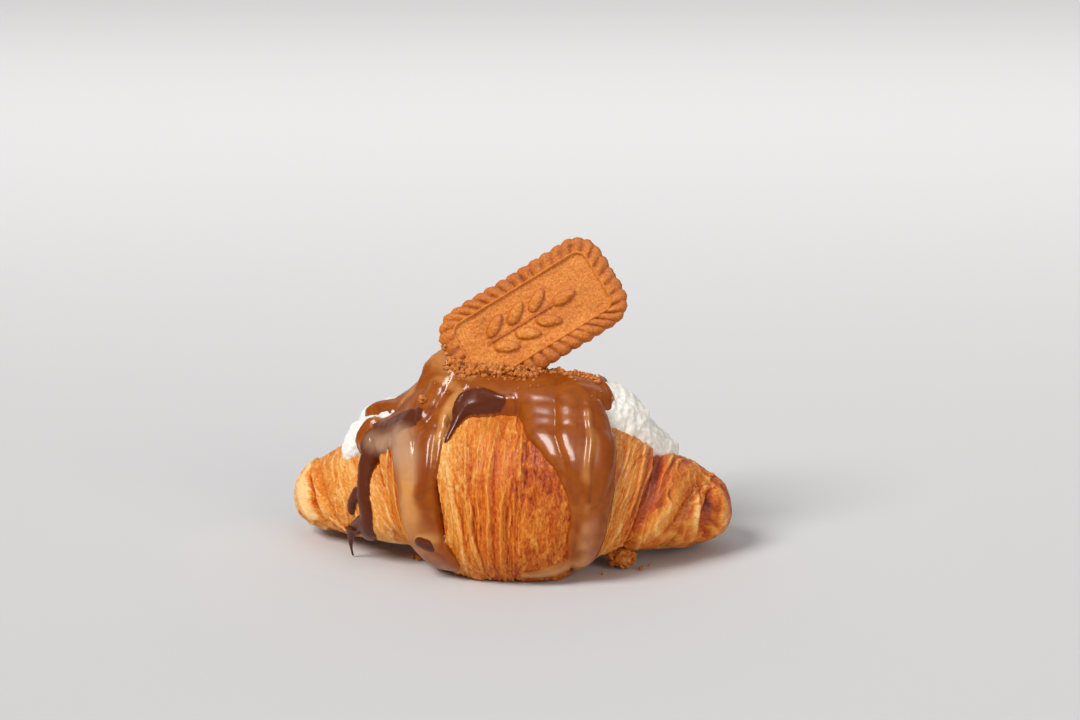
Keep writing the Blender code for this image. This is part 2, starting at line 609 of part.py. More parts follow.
for tool in (bed, clear, clear_lobe, clear_crust, slot):
    combine(sauce, tool, "DIFFERENCE")

start = Vector(place(
    np.array([THREAD_TOP[0] * MM]), np.array([THREAD_TOP[1] * DEG]),
    filled_radius(np.array([THREAD_TOP[0] * MM]), np.array([THREAD_TOP[1] * DEG])) + 1.1 * MM)[0])
foot = Vector(THREAD_FOOT)
way = start - foot
bm = bmesh.new()
bmesh.ops.create_cone(
    bm, cap_ends=True, segments=6, radius1=THREAD[1], radius2=THREAD[0], depth=way.length,
    matrix=Matrix.Translation((start + foot) / 2) @ way.to_track_quat("Z", "Y").to_matrix().to_4x4(),
)
combine(sauce, make("thread", bm, tools), "UNION")
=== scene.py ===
"""A butter croissant filled with whipped cream, poured over with biscuit-spread sauce and chocolate, with a
caramelised biscuit standing in it. Metres, +Z up, the front of the crescent at -Y."""

import math

import bmesh
import bpy
import numpy as np
from mathutils import Matrix, Vector
from mathutils.bvhtree import BVHTree


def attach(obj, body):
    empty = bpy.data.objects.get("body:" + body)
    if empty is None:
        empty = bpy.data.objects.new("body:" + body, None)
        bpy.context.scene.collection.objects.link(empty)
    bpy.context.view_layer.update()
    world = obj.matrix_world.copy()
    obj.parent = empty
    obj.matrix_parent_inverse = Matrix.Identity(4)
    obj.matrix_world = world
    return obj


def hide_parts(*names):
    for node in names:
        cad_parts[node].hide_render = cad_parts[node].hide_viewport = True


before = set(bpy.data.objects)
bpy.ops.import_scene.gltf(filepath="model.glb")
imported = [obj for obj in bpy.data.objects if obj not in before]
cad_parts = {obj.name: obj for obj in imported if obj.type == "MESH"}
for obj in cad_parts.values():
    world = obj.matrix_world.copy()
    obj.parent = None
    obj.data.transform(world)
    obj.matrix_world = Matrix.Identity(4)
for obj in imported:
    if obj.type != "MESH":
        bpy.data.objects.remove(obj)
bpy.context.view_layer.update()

# ---- The croissant
# Butter dough, folded in many thin layers, cut to a triangle, rolled up from its wide side, bent to a
# crescent, brushed with egg and baked. Each wrap swells like a pillow and ends in a lip towards the tip; the
# layers show as thin flaky sheets that run round the roll.
MM = 0.001
DEG = math.pi / 180
scene = bpy.context.scene
TIP_X = 71.5 * MM  # from the middle to a tip, along the chord
AXIS_Y, SAG, SKEW = -5 * MM, 32 * MM, 9 * MM  # the roll's bent axis
AXIS_Z, AXIS_Z_TIP = 21 * MM, 12 * MM
HALF_WIDTH, CROWN = 35 * MM, 33 * MM
BELLY, TAPER, CLEAR, SECTION_POWER = 0.3, 0.45, 4 * MM, 2.25
WRAP_EDGES = (-66 * MM, -46 * MM, -21 * MM, 22 * MM, 49 * MM, 67 * MM)
BANDS = (
    *zip(WRAP_EDGES[3:], (*WRAP_EDGES[4:], TIP_X)), *zip(WRAP_EDGES[2::-1], (*WRAP_EDGES[1::-1], -TIP_X)),
)  # the wraps right and left of the middle one, from its edges outward
LIP, TIP_LIP = 4.6 * MM, 0.5
SLANT, SLANT_END = 0.25, 0.40
BENT_EDGES = ((-20, 7, 2.5, 40), (23, 7, 4, 45), (50, 7, 4, 10), (66, 6, -5.5, 35))
# where the wraps' edges bend at the front: at that mm, over that, by that, below that angle from the top
HOLLOW_AT, HOLLOW_HALF, HOLLOW_DEEP = (66.5 * MM, 1.45), (1.1 * MM, 0.42), 2 * MM
# the start of the spiral at the right: place along and round the roll, and its half size
ROUND = 30 * MM  # radius at which a turn round the roll is measured for the patterns
SHEETS = (
    (5.2, 30, 0.95, 1.0), (2.4, 13, 0.6, 1.1), (1.1, 5, 0.34, 1.2),
)  # the flaky sheets, coarse to fine: width and length mm, height mm, how far they wander, in widths
BLISTER = 0.5 * MM  # depth of the blistered patches
RAISED = (
    ((-17, 40, 0.6, 0.4), (-16.2, 60, 0.6, 0.5), (-14.3, 84, 0.6, 0.5), (-12.3, 102, 0.6, 0.4),
     (-11.8, 114, 0.6, 0.2)),
    ((-13.6, 30, 0.5, 0.3), (-13.2, 50, 0.5, 0.5), (-12.4, 70, 0.5, 0.3)),
    ((-11.6, 36, 0.6, 0.5), (-10.5, 52, 0.8, 0.9), (-10.3, 69, 0.8, 0.9), (-9.4, 87, 0.8, 0.8),
     (-8.9, 99, 0.7, 0.6), (-6.9, 114, 0.6, 0.4)),
    ((-7, 26, 0.5, 0.3), (-6.8, 48, 0.5, 0.5), (-6.6, 70, 0.5, 0.4), (-6, 92, 0.5, 0.3)),
    ((-1.6, 24, 0.6, 0.5), (-3, 51, 0.7, 0.8), (-3.6, 66, 0.7, 0.8), (-2.5, 84, 0.7, 0.8),
     (-3.4, 90, 0.7, 0.7), (-3, 102, 0.7, 0.6), (-3.4, 116, 0.6, 0.4)),
    ((1, 40, 0.5, 0.3), (1.6, 56, 0.6, 0.6), (0.5, 72, 0.5, 0.3)),
    ((3.1, 62, 0.6, 0.7), (1, 75, 0.7, 0.9), (0.9, 87, 0.7, 0.8), (1.1, 99, 0.7, 0.7),
     (0.5, 120, 0.7, 0.4)),
    ((3.1, 62, 0.6, 0.7), (4.4, 72, 0.6, 0.6), (5.4, 84, 0.5, 0.3)),
    ((4.6, 14, 0.6, 0.5), (5.9, 48, 0.7, 0.9), (6.4, 66, 0.7, 0.8), (6.3, 80, 0.6, 0.4)),
    ((-68.2, 34, 0.8, 0.4), (-66, 66, 0.9, 0.7), (-65.5, 84, 0.9, 0.7), (-65, 102, 0.9, 0.6),
     (-62, 120, 0.8, 0.4)),
    ((-68.8, 60, 0.7, 0.4), (-68.2, 87, 0.8, 0.6), (-67.5, 111, 0.8, 0.4)),
    ((62.5, 15, 1, 0.3), (64.4, 36, 1, 0.5), (66.6, 46, 1, 0.8), (68.2, 60, 1, 0.9), (68.9, 80, 1, 0.9),
     (69.2, 100, 1, 0.8), (69, 118, 1, 0.4)),
    ((63.4, 56, 0.7, 0.4), (64.6, 74, 0.7, 0.8), (65.2, 90, 0.8, 0.9), (65.6, 106, 0.8, 0.8),
     (65.6, 118, 0.7, 0.4)),
    ((65.8, 48, 0.4, 0.3), (67.4, 62, 0.4, 0.4), (68, 76, 0.4, 0.3)),
    ((46, 12, 0.8, 0.4), (48.5, 39, 0.9, 0.7), (49.8, 66, 0.9, 0.7), (50.2, 90, 0.9, 0.6),
     (50, 108, 0.8, 0.3)),
)  # long edges of sheets that stand up: chains of wrap coordinate mm, angle, half width mm, height mm
SUNK = (
    ((66.2, 58, 0.8, 0.6), (66.4, 76, 0.8, 1.2), (66.6, 92, 0.8, 1.2), (66.8, 108, 0.7, 0.6)),
    ((63.8, 50, 1.1, 0.8), (62.8, 63, 1.2, 1.2), (62.4, 76, 1.2, 1.2), (61.8, 90, 1.2, 1.2),
     (60.2, 100, 1.2, 1), (58.6, 110, 1, 0.6)),
    ((51.5, 10, 1.4, 1.2), (54, 39, 1.5, 1.4), (55, 66, 1.4, 1.1), (55, 90, 1.2, 0.7)),
)  # and creases, in the same terms; the crust is painted darker in them, as shade
GLAZED = (
    ((51.4, 22, 4, 1), (54.4, 51, 4.6, 1), (55.4, 75, 4, 1), (54.2, 96, 3.4, 0.6)),
    ((38, 18, 1.2, 0.5), (41.4, 54, 1.4, 0.5), (45.3, 80, 1.3, 0.4)),
    ((44, 15, 1.5, 0.6), (47.6, 45, 1.7, 0.6), (50, 75, 1.5, 0.5)),
    ((67.6, 64, 0.9, 0.6), (67.7, 84, 1, 0.8), (67.5, 100, 0.9, 0.5)),
)  # smooth, dark, glazed bands; the last number is their strength
BRIGHT = (
    ((-60, 46, 4, 0.5), (-57, 60, 4, 0.5), (-58.6, 80, 3.4, 0.3)),
    ((61.6, 50, 2, 0.5), (60, 72, 2.4, 0.8), (58.6, 90, 2.8, 0.9), (55.8, 106, 3, 0.7)),
    ((-17.5, 50, 3, 0.4), (-15, 84, 3.4, 0.5), (-11, 112, 3.4, 0.4)),
)  # and smooth, bright ones
BAKED = (
    (-71, 0.76), (-56, 0.82), (-46, 0.72), (-32, 0.7), (-20, 0.7), (-8, 0.56), (0, 0.46), (8, 0.42), (21, 0.42),
    (30, 0.67), (47, 0.68), (56, 0.52), (71, 0.56),
)  # how pale the crust is along the roll, in mm
TOP_PALER = 0.06  # and how much paler it is near the top of the middle wrap
CRUST_RINGS, CRUST_STEP, CRUST_STEP_BACK = 640, 1.05, 2  # steps round it in degrees, front and back


def smooth(x):
    """0 below 0, 1 above 1, and an S between."""
    x = np.clip(x, 0, 1)
    return x * x * (3 - 2 * x)


def grain(points, size, seed):
    """Soft noise between -1 and 1 at the points, in cells of that size, or of three sizes along the axes."""
    at = points / np.array(size)
    cell = np.floor(at).astype(np.int64)
    f = at - cell
    f = f * f * (3 - 2 * f)
    total = 0
    for corner in range(8):
        step = np.array([corner & 1, corner >> 1 & 1, corner >> 2])
        i, j, k = (cell + step).T
        n = i * 374761393 + j * 668265263 + k * 974711 + seed * 1274126177
        n = (n ^ (n >> 13)) * 1103515245 & 0x7FFFFFFF
        n = (n ^ (n >> 16)) & 0xFFFF
        share = np.prod(np.where(step, f, 1 - f), axis=-1)
        total = total + share * (n / 32767.5 - 1)
    return total


def turn_share(phi):
    """How far an edge has slid towards the middle at angle phi from the top, to the front."""
    slid = np.where(phi > 0, 1.25, 1.0) * np.sin(0.69 * phi)
    return slid * (1 - smooth((np.abs(phi) - 130 * DEG) / (50 * DEG)))


def along_axis(w, phi):
    """The place along the chord of the point that lies at wrap coordinate w and angle phi."""
    x = np.abs(w)
    slant = SLANT + (SLANT_END - SLANT) * smooth((x - 18 * MM) / (32 * MM))
    fade = 1 - (x / TIP_X) ** np.where(phi > 0, 6.0, 2.2)
    return w - slant * w * fade * turn_share(phi)


def roll_section(a):
    """Centre (y, z), half width, height above and below the centre, and slope of the axis at a."""
    u = np.clip(a / TIP_X, -1, 1)
    n = np.abs(u)
    y = AXIS_Y + SAG * u * u - SKEW * u
    slope = (2 * SAG * u - SKEW) / TIP_X
    z = AXIS_Z + (AXIS_Z_TIP - AXIS_Z) * n * n
    blunt = (1 - n**11) ** 0.5
    width = HALF_WIDTH * (1 - TAPER * smooth(n * 1.1)) * blunt
    up = CROWN * (1 - 0.47 * smooth((n - 0.25) / 0.65)) * blunt
    clear = CLEAR * smooth((n - 0.22) / 0.2) * (1 - smooth((n - 0.45) / 0.5))
    down = (z * (1 + BELLY * (1 - smooth((n - 0.2) / 0.14))) - clear) * blunt
    return y, z, width, up, down, slope


def wrap_relief(w):
    """How far the crust lies under the full section, from the pillow form of each wrap."""
    depth = np.zeros_like(w)
    left, right = WRAP_EDGES[2], WRAP_EDGES[3]
    middle, half = (left + right) / 2, (right - left) / 2
    q = np.abs(w - middle) / half
    inside = q <= 1
    depth[inside] = 0.30 * smooth((q[inside] - 0.55) / 0.45)
    for start, end in BANDS:
        q = (w - start) / (end - start)
        here = (q > 0) & (q <= 1.0001)
        rise = 1 - (1 - np.clip(q[here] / 0.5, 0, 1)) ** 2
        fall = 1 - 0.30 * smooth((q[here] - 0.7) / 0.3)
        depth[here] = (1 - rise * fall) * (1 if abs(end) < TIP_X else TIP_LIP)
    return depth * LIP


def bent(w, phi):
    """The wrap coordinate with the bends of the edges at the front taken out."""
    for at, over, by, below in BENT_EDGES:
        w = w - by * MM * smooth((phi / DEG - below) / 50) * np.exp(-(((w - at * MM) / (over * MM)) ** 2))
    return np.clip(w, -TIP_X, TIP_X)


def crust_radius(w, phi, relief=wrap_relief):
    """Distance from the roll's axis to the crust, without its flaky layers."""
    _, z, width, up, down, _ = roll_section(along_axis(w, phi))
    c, s = np.cos(phi), np.sin(phi)
    tall = np.where(c > 0, up, down) + 1e-9
    n = SECTION_POWER
    r = (np.abs(s / (width + 1e-9)) ** n + np.abs(c / tall) ** n) ** (-1 / n)
    r = r - relief(bent(w, phi)) * np.minimum(1, r / (24 * MM))
    floor = np.where(c < -1e-6, z / np.maximum(-c, 1e-6), 1.0)
    return np.minimum(np.maximum(r, 0), floor)


def place(w, phi, r):
    """The point at distance r from the axis."""
    a = along_axis(w, phi)
    y, z, _, _, _, slope = roll_section(a)
    run = np.sqrt(1 + slope * slope)
    across = r * np.sin(phi)
    return np.stack([a + across * slope / run, y - across / run, z + r * np.cos(phi)], -1)


def rolled_out(w, phi):
    """Along the roll, and round it at one radius: where the patterns of the crust are measured."""
    return np.stack([w, ROUND * np.sin(phi), ROUND * np.cos(phi)], -1)


def chain(points, ends, sizes, profile):
    """The greatest profile(distance, sizes) at each point, over the lines between the ends."""
    best = np.full(len(points), -1.0)
    for a, b, low, high in zip(ends[:-1], ends[1:], sizes[:-1], sizes[1:]):
        line = b - a
        q = np.clip((points - a) @ line / (line @ line + 1e-12), 0, 1)
        far = np.linalg.norm(points - a - q[:, None] * line, axis=1)
        best = np.maximum(best, profile(far, *(low + (high - low) * q[:, None]).T))
    return best


def shares(points, chains, ends_of, core):
    """The greatest share that a chain has at each point, fading to its sides."""
    def fading(far, half, share):
        return share * smooth(core - far / (half * MM))
    best = np.zeros(len(points))
    for rows in chains:
        best = np.maximum(best, chain(points, *ends_of(rows), fading))
    return best


def flat_ends(rows):
    """The chain's points on the rolled-out crust, and its sizes there."""
    rows = np.array(rows, float)
    return np.stack([rows[:, 0] * MM, ROUND * rows[:, 1] * DEG], -1), rows[:, 2:]


def marks(w, phi, chains):
    """How strongly the chains mark the rolled-out crust at each point."""
    return shares(np.stack([w, ROUND * phi], -1), chains, flat_ends, 1)


def flaky(w, phi):
    """Depth of the sheets' relief, how much paler or darker they are there, with painted highlight and painted
    shade among them, and how blistered the crust is.
    """
    at = rolled_out(w, phi)
    waver = 0.35 * MM * grain(at, (4 * MM, 11 * MM, 11 * MM), 15)
    blistered = smooth((w - 2 * MM) / (8 * MM)) * (w < 24 * MM)  # on the middle wrap's right half
    rough = smooth(0.1 + 1.1 * grain(at, 12 * MM, 8) + blistered)
    glazed, bright, raised, sunk = [marks(w + waver, phi, m) for m in (GLAZED, BRIGHT, RAISED, SUNK)]
    calm = (1 - 0.8 * glazed) * (1 - 0.7 * bright)
    depth, tone = np.zeros(len(w)), np.zeros(len(w))
    for k, (width, long, high, wander) in enumerate(SHEETS):
        size = np.array((width, long, long)) * MM
        drift = grain(at, size * (1.6, 1, 1), 20 + k) + 0.5 * grain(at, size * (0.8, 0.5, 0.5), 30 + k)
        s = w / (width * MM) + wander * drift
        f = s - np.floor(s)
        own = grain(np.stack([np.floor(s) * 7.3, 0 * s, 0 * s], -1), 1, 6 + k)  # each sheet's own brown
        edge = smooth((f - 0.62) / 0.28) * (1 - smooth((f - 0.91) / 0.09))
        strength = smooth(0.55 + 1.2 * grain(at, size * (1.3, 0.7, 0.7), 40 + k)) * calm * (1 - 0.75 * rough)
        depth = depth + high * MM * strength * (1 - 0.35 * f - 0.65 * edge)
        # Each sheet's raised edge is painted paler, partly its own straw colour and partly a painted highlight,
        # and the low foot just past its step darker, as painted shade.
        shade = strength * (0.34 * edge - 0.2 * smooth((0.25 - f) / 0.25) - 0.06)
        tone = tone + shade * (1, 0.7, 0.6)[k] + 0.09 * own
    blister = grain(at, (0.9 * MM, 1.6 * MM, 1.6 * MM), 9)
    blister = blister + 0.8 * grain(at, (0.5 * MM, 0.9 * MM, 0.9 * MM), 10)
    # The groove on the right of each raised fin: deepened, and painted darker as the shadow that the fin casts.
    beside = marks(w + waver - 1.7 * MM, phi, RAISED)
    depth = depth * (1 - 0.6 * np.minimum(raised, 1))
    depth = depth + BLISTER * (0.25 + 0.75 * rough) * (0.5 - 0.5 * blister) * calm
    depth = depth - raised * MM + 0.75 * beside * MM + sunk * MM
    # Fins paler; painted shadow in the groove at their right, and painted shade in the creases.
    tone = tone + 0.26 * raised - 0.26 * beside - 0.14 * sunk + (0.04 + 0.13 * rough) * blister * calm
    return depth, tone - 0.2 * glazed + 0.16 * bright, rough


def hollow(w, phi):
    """Depth of the hollow in the end of the roll at the right."""
    along, around = [(v - at) / half for v, at, half in zip((w, phi), HOLLOW_AT, HOLLOW_HALF)]
    return HOLLOW_DEEP * np.exp(-(along**2 + around**2))


def piece(name, mesh, kept=None):
    """An object of the mesh, smoothly shaded, with the kept values on its points."""
    for key, values in (kept or {}).items():
        vector = values.ndim == 2
        layer = mesh.attributes.new(key, "FLOAT_VECTOR" if vector else "FLOAT", "POINT")
        layer.data.foreach_set("vector" if vector else "value", values.astype(np.float32).ravel())
    mesh.shade_smooth()
    ob = bpy.data.objects.new(name, mesh)
    scene.collection.objects.link(ob)
    return ob


def skin(name, rings, turns, form):
    """A closed skin with rings and meridians at those places; form gives where their points go."""
    n, m = len(rings) - 1, len(turns)
    bm = bmesh.new()
    bmesh.ops.create_uvsphere(bm, u_segments=m, v_segments=n, radius=1)
    co = np.array([v.co for v in bm.verts])
    ring = np.rint(np.arccos(np.clip(co[:, 2], -1, 1)) / np.pi * n).astype(int)
    turn = np.rint(np.arctan2(co[:, 1], co[:, 0]) / (2 * np.pi) * m).astype(int) % m
    turn[(ring == 0) | (ring == n)] = 0
    first, second = np.array(rings)[ring], np.array(turns)[turn]
    for v, point in zip(bm.verts, form(first, second)):
        v.co = point
    if bm.calc_volume(signed=True) < 0:
        bmesh.ops.reverse_faces(bm, faces=bm.faces)
    mesh = bpy.data.meshes.new(name)
    bm.to_mesh(mesh)
    bm.free()
    return mesh, first, second


def linear(code):
    """Linear colour of an sRGB hex value."""
    parts = [int(code[k:k + 2], 16) / 255 for k in (1, 3, 5)]
    return (*[c / 12.92 if c <= 0.04045 else ((c + 0.055) / 1.055) ** 2.4 for c in parts], 1)


def node(tree, kind, inputs=None, stops=None, **settings):
    """A new node. inputs gives its sockets values or other nodes' outputs, stops a ramp's colours."""
    n = tree.nodes.new("ShaderNode" + kind)
    for key, value in settings.items():
        setattr(n, key, value)
    for key, value in (inputs or {}).items():
        if isinstance(value, bpy.types.NodeSocket):
            tree.links.new(value, n.inputs[key])
        else:
            n.inputs[key].default_value = value
    for k, (at, code) in enumerate(stops or ()):
        stop = n.color_ramp.elements[k] if k < 2 else n.color_ramp.elements.new(at)
        stop.position, stop.color = at, linear(code)
    return n


def surface(name, **values):
    """A material with those values on its shader, named with _ for a space."""
    m = bpy.data.materials.new(name)
    m.use_nodes = True
    shader = m.node_tree.nodes["Principled BSDF"]
    for key, value in values.items():
        shader.inputs[key.replace("_", " ")].default_value = value
    return m, m.node_tree, shader


def held(tree, key, kind="Fac"):
    """What the mesh holds under that name."""
    return node(tree, "Attribute", attribute_name=key).outputs[kind]


def noise(tree, where, cell, detail, **more):
    """Noise at the points, in cells of that many mm, or of three sizes along the axes."""
    three = isinstance(cell, tuple)
    if three:
        where = node(tree, "Mapping", {"Vector": where, "Scale": [1 / (c * MM) for c in cell]}).outputs[0]
    inputs = {"Vector": where, "Scale": 1 if three else 1 / (cell * MM), "Detail": detail, **more}
    return node(tree, "TexNoise", inputs).outputs["Fac"]


def tint(tree, shader, tone, *stops):
    """Colours the shader after the tone: stops are the tones and their colours."""
    ramp = node(tree, "ValToRGB", {"Fac": tone}, stops)
    tree.links.new(ramp.outputs[0], shader.inputs["Base Color"])


def roughen(tree, shader, height, strength, deep):
    """Bumps on the shader's surface, that deep, after the height."""
    bump = node(tree, "Bump", {"Height": height, "Strength": strength, "Distance": deep})
    tree.links.new(bump.outputs[0], shader.inputs["Normal"])


def weigh(tree, *terms):
    """The sum of sockets times weights, and of plain numbers."""
    total = sum(t for t in terms if not isinstance(t, tuple))
    for socket, weight in [t for t in terms if isinstance(t, tuple)]:
        total = node(tree, "Math", {0: socket, 1: weight, 2: total}, operation="MULTIPLY_ADD").outputs[0]
    return total


crust_looks = {}  # what crust_form finds out about the colour of each point


def crust_form(w, phi):
    r = crust_radius(w, phi)
    depth, crust_looks["tone"], crust_looks["rough"] = flaky(w, phi)
    fade = smooth(r / (20 * MM)) * (1 - smooth((-0.72 - np.cos(phi)) / 0.2))
    r = np.where(np.abs(w) > TIP_X * 0.9999, 0, r - depth * fade - hollow(w, phi))
    return place(w, phi, r)


crust_turns = np.r_[-180:-25:CRUST_STEP_BACK, -25:142:CRUST_STEP, 143:180:CRUST_STEP_BACK] * DEG
crust_rings = np.sin(np.linspace(-math.pi / 2, math.pi / 2, CRUST_RINGS) * 0.93)  # closer at the tips
crust_rings = TIP_X * crust_rings / math.sin(math.pi / 2 * 0.93)
mesh, w, phi = skin("croissant_crust", crust_rings, crust_turns, crust_form)
at = rolled_out(w, phi)
pale_at, pale_share = np.array(BAKED).T
tone = np.interp(w, pale_at * MM, pale_share) + crust_looks["tone"]
tone = tone + 0.12 * grain(at, (10 * MM, 20 * MM, 20 * MM), 7)
# Darker where the crust lies low between the wraps, partly egg wash pooled in the creases and partly painted
# shade, and painted shade in the hollow at the tip.
tone = tone - 0.16 * wrap_relief(bent(w, phi)) / LIP - 0.2 * hollow(w, phi) / HOLLOW_DEEP
tone = tone + TOP_PALER * (1 - smooth((phi / DEG - 20) / 35)) * (np.abs(w) < WRAP_EDGES[3])
crust = piece("croissant_crust", mesh, {"roll": at, "tone": tone, "rough": crust_looks["rough"]})

# Egg-washed, well baked butter dough: golden brown with straw-coloured edges where the leaves break, paler
# there also from a painted highlight, red-brown in the tears, darker where shade is painted into the grooves,
# creases and hollow, and a thin satin glaze on top.
dough, tree, shader = surface(
    "egg_washed_butter_dough", Specular_IOR_Level=0.3, Coat_Weight=0.08, Coat_Roughness=0.25, IOR=1.4)
roll, baked = held(tree, "roll", "Vector"), held(tree, "tone")
streaks = noise(tree, roll, (0.6, 5, 5), 5, Roughness=0.65)
crisp = noise(tree, roll, (0.5, 1.1, 1.1), 4, Roughness=0.7)
flakes = node(tree, "Mix", {"Factor": held(tree, "rough"), "A": streaks, "B": crisp}).outputs[0]
tint(tree, shader, weigh(tree, -0.57, (flakes, 0.44), (crisp, 0.7), (baked, 1)),
     (0.0, "#762103"), (0.2, "#a73d08"), (0.4, "#c95d13"), (0.6, "#df8127"), (0.8, "#eea24a"), (1, "#f8c988"))
roughen(tree, shader, weigh(tree, (flakes, 0.4), (crisp, 0.6)), 1, 0.8 * MM)
tree.links.new(weigh(tree, 0.22, (crisp, 0.4), (streaks, 0.1)), shader.inputs["Roughness"])
crust.data.materials.append(dough)
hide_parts("croissant")
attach(crust, "root")

# ---- The whipped cream
# Stiffly whipped cream, piped into the cut along the top, where it stands up above the crust, and pressed out
# to the left in a lobe. Its torn, lumpy skin shows at both ends, the sauce covers the rest.
CREAM_END, CREAM_HALF_WIDTH = 58.5 * MM, 12.5 * MM
CREST = (
    (-58.5, 30), (-56, 37), (-54, 43), (-51, 47.5), (-47, 50), (-42, 51.5), (-36, 54), (-31, 59.5),
    (-29, 64.5), (-26.5, 67), (-22, 67.5), (-18, 66), (-6, 64), (8, 63.5), (17, 62.5), (28, 60), (31, 61.5),
    (39, 58.4), (43.5, 54.8), (46.6, 48.5), (51.3, 42), (56, 38), (58.5, 35.5),
)  # height of the cream's top above the table, along the chord, in mm
CREAM_DEPTH, CREAM_SINK, CREAM_BACK = 23 * MM, 3.5 * MM, 3.4 * MM
LOBE = (-44.2 * MM, 9 * MM, -3.2 * MM)  # along the roll, to the front of its axis, above the crust's top
LOBE_SIZE = (6.6 * MM, 8.5 * MM, 9.4 * MM)  # its half sizes
CREAM_GRID = 0.62 * MM  # size of the cells that the two bodies are fused in
CREAM_RINGS, LOBE_RINGS, CREAM_TURNS = 120, 30, 72


def cream_form(a, dome):
    """Middle (to the front, above the axis), half width, rise and depth of the cream at a."""
    _, z, _, up, _, _ = roll_section(a)
    if dome:
        q = np.clip((a - LOBE[0]) / LOBE_SIZE[0], -1, 1)
        t = np.sqrt(1 - q * q) + 1e-6
        return LOBE[1], up + LOBE[2], t * LOBE_SIZE[1], t * LOBE_SIZE[2], t * LOBE_SIZE[2]
    q = np.clip(a / CREAM_END, -1, 1)
    t = np.sqrt(1 - q**4) + 1e-6
    at, high = np.array(CREST).T * MM
    rise = np.maximum(np.interp(a, at, high) - (z + up - CREAM_SINK), 1 * MM)
    return -CREAM_BACK, up - CREAM_SINK, t * CREAM_HALF_WIDTH, rise, t * CREAM_DEPTH


def cream_reach(a, phi, dome):
    """Distance from the roll's axis to the cream's upper side in the direction phi; 0 where there is none."""
    ahead, above, half, rise, _ = cream_form(a, dome)
    s, c = np.sin(phi), np.cos(phi)
    qa = (s / half) ** 2 + (c / rise) ** 2
    qb = -2 * (ahead * s / half**2 + above * c / rise**2)
    qc = (ahead / half) ** 2 + (above / rise) ** 2 - 1
    disc = qb * qb - 4 * qa * qc
    return np.where(disc > 0, (-qb + np.sqrt(np.maximum(disc, 0))) / (2 * qa), 0.0)


def cream_point(dome):
    """The form of the long swell, or of the lobe."""
    def form(a, phi):
        ahead, above, half_wide, rise, deep = cream_form(a, dome)
        s, c = np.sin(phi), np.cos(phi)
        n = np.where(c > 0, 2.0, 2.0 if dome else 1.45)
        r = (np.abs(s / half_wide) ** n + np.abs(c / np.where(c > 0, rise, deep)) ** n) ** (-1 / n)
        first, last = (LOBE[0] - LOBE_SIZE[0], LOBE[0] + LOBE_SIZE[0]) if dome else (-CREAM_END, CREAM_END)
        r = np.where((a <= first) | (a >= last), 0, np.maximum(r, 0.2 * MM))
        y, z, _, _, _, slope = roll_section(a)
        run = np.sqrt(1 + slope * slope)
        across = ahead + r * s
        return np.stack([a + across * slope / run, y - across / run, z + above + r * c], -1)
    return form


def settled(ob):
    """The object's mesh with its modifiers taken in."""
    graph = bpy.context.evaluated_depsgraph_get()
    made = bpy.data.meshes.new_from_object(ob.evaluated_get(graph))
    ob.modifiers.clear()
    ob.data = made
    return made


turns = np.linspace(-math.pi, math.pi, CREAM_TURNS + 1)[:-1]
rings = CREAM_END * np.sin(np.linspace(-math.pi / 2, math.pi / 2, CREAM_RINGS))
mesh = skin("whipped_cream_filling", rings, turns, cream_point(False))[0]
rings = LOBE[0] - LOBE_SIZE[0] * np.cos(np.linspace(0, math.pi, LOBE_RINGS))
lobe = skin("lobe", rings, turns, cream_point(True))[0]
bm = bmesh.new()
bm.from_mesh(mesh)
bm.from_mesh(lobe)
bm.to_mesh(mesh)
bm.free()
bpy.data.meshes.remove(lobe)
cream = piece("whipped_cream_filling", mesh)
remesh = cream.modifiers.new("fused", "REMESH")
remesh.mode, remesh.voxel_size = "VOXEL", CREAM_GRID
mesh = settled(cream)
co = np.array([v.co for v in mesh.vertices])
out = np.array([v.normal for v in mesh.vertices])
lump = grain(co, 4.2 * MM, 11) * 0.55 + grain(co, 2.1 * MM, 12) * 0.5 + grain(co, 1.1 * MM, 13) * 0.45
peak = np.abs(grain(co, 2.8 * MM, 14))
co += out * (0.9 * lump - 0.4 + 0.4 * peak)[:, None] * MM
mesh.vertices.foreach_set("co", co.astype(np.float32).ravel())
mesh.shade_smooth()

# Whipped dairy cream: matt, nearly white, soft to the light, a touch darker and yellower in the hollows of its
# bumps, which is painted shade.
whipped, tree, shader = surface(
    "whipped_dairy_cream", Roughness=0.55, Subsurface_Weight=0.25, Subsurface_Scale=1.5 * MM, IOR=1.38)
shader.inputs["Subsurface Radius"].default_value = (1.0, 0.85, 0.65)
where = node(tree, "TexCoord").outputs["Object"]
foam = noise(tree, where, 0.9, 5, Roughness=0.7)
# Darker and yellower where the bumps sink: painted shade in their hollows.
tint(tree, shader, foam, (0.3, "#efe6d6"), (0.6, "#fbf9f4"))
roughen(tree, shader, foam, 0.8, 0.6 * MM)
cream.data.materials.clear()
cream.data.materials.append(whipped)
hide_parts("whipped_cream")
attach(cream, "root")

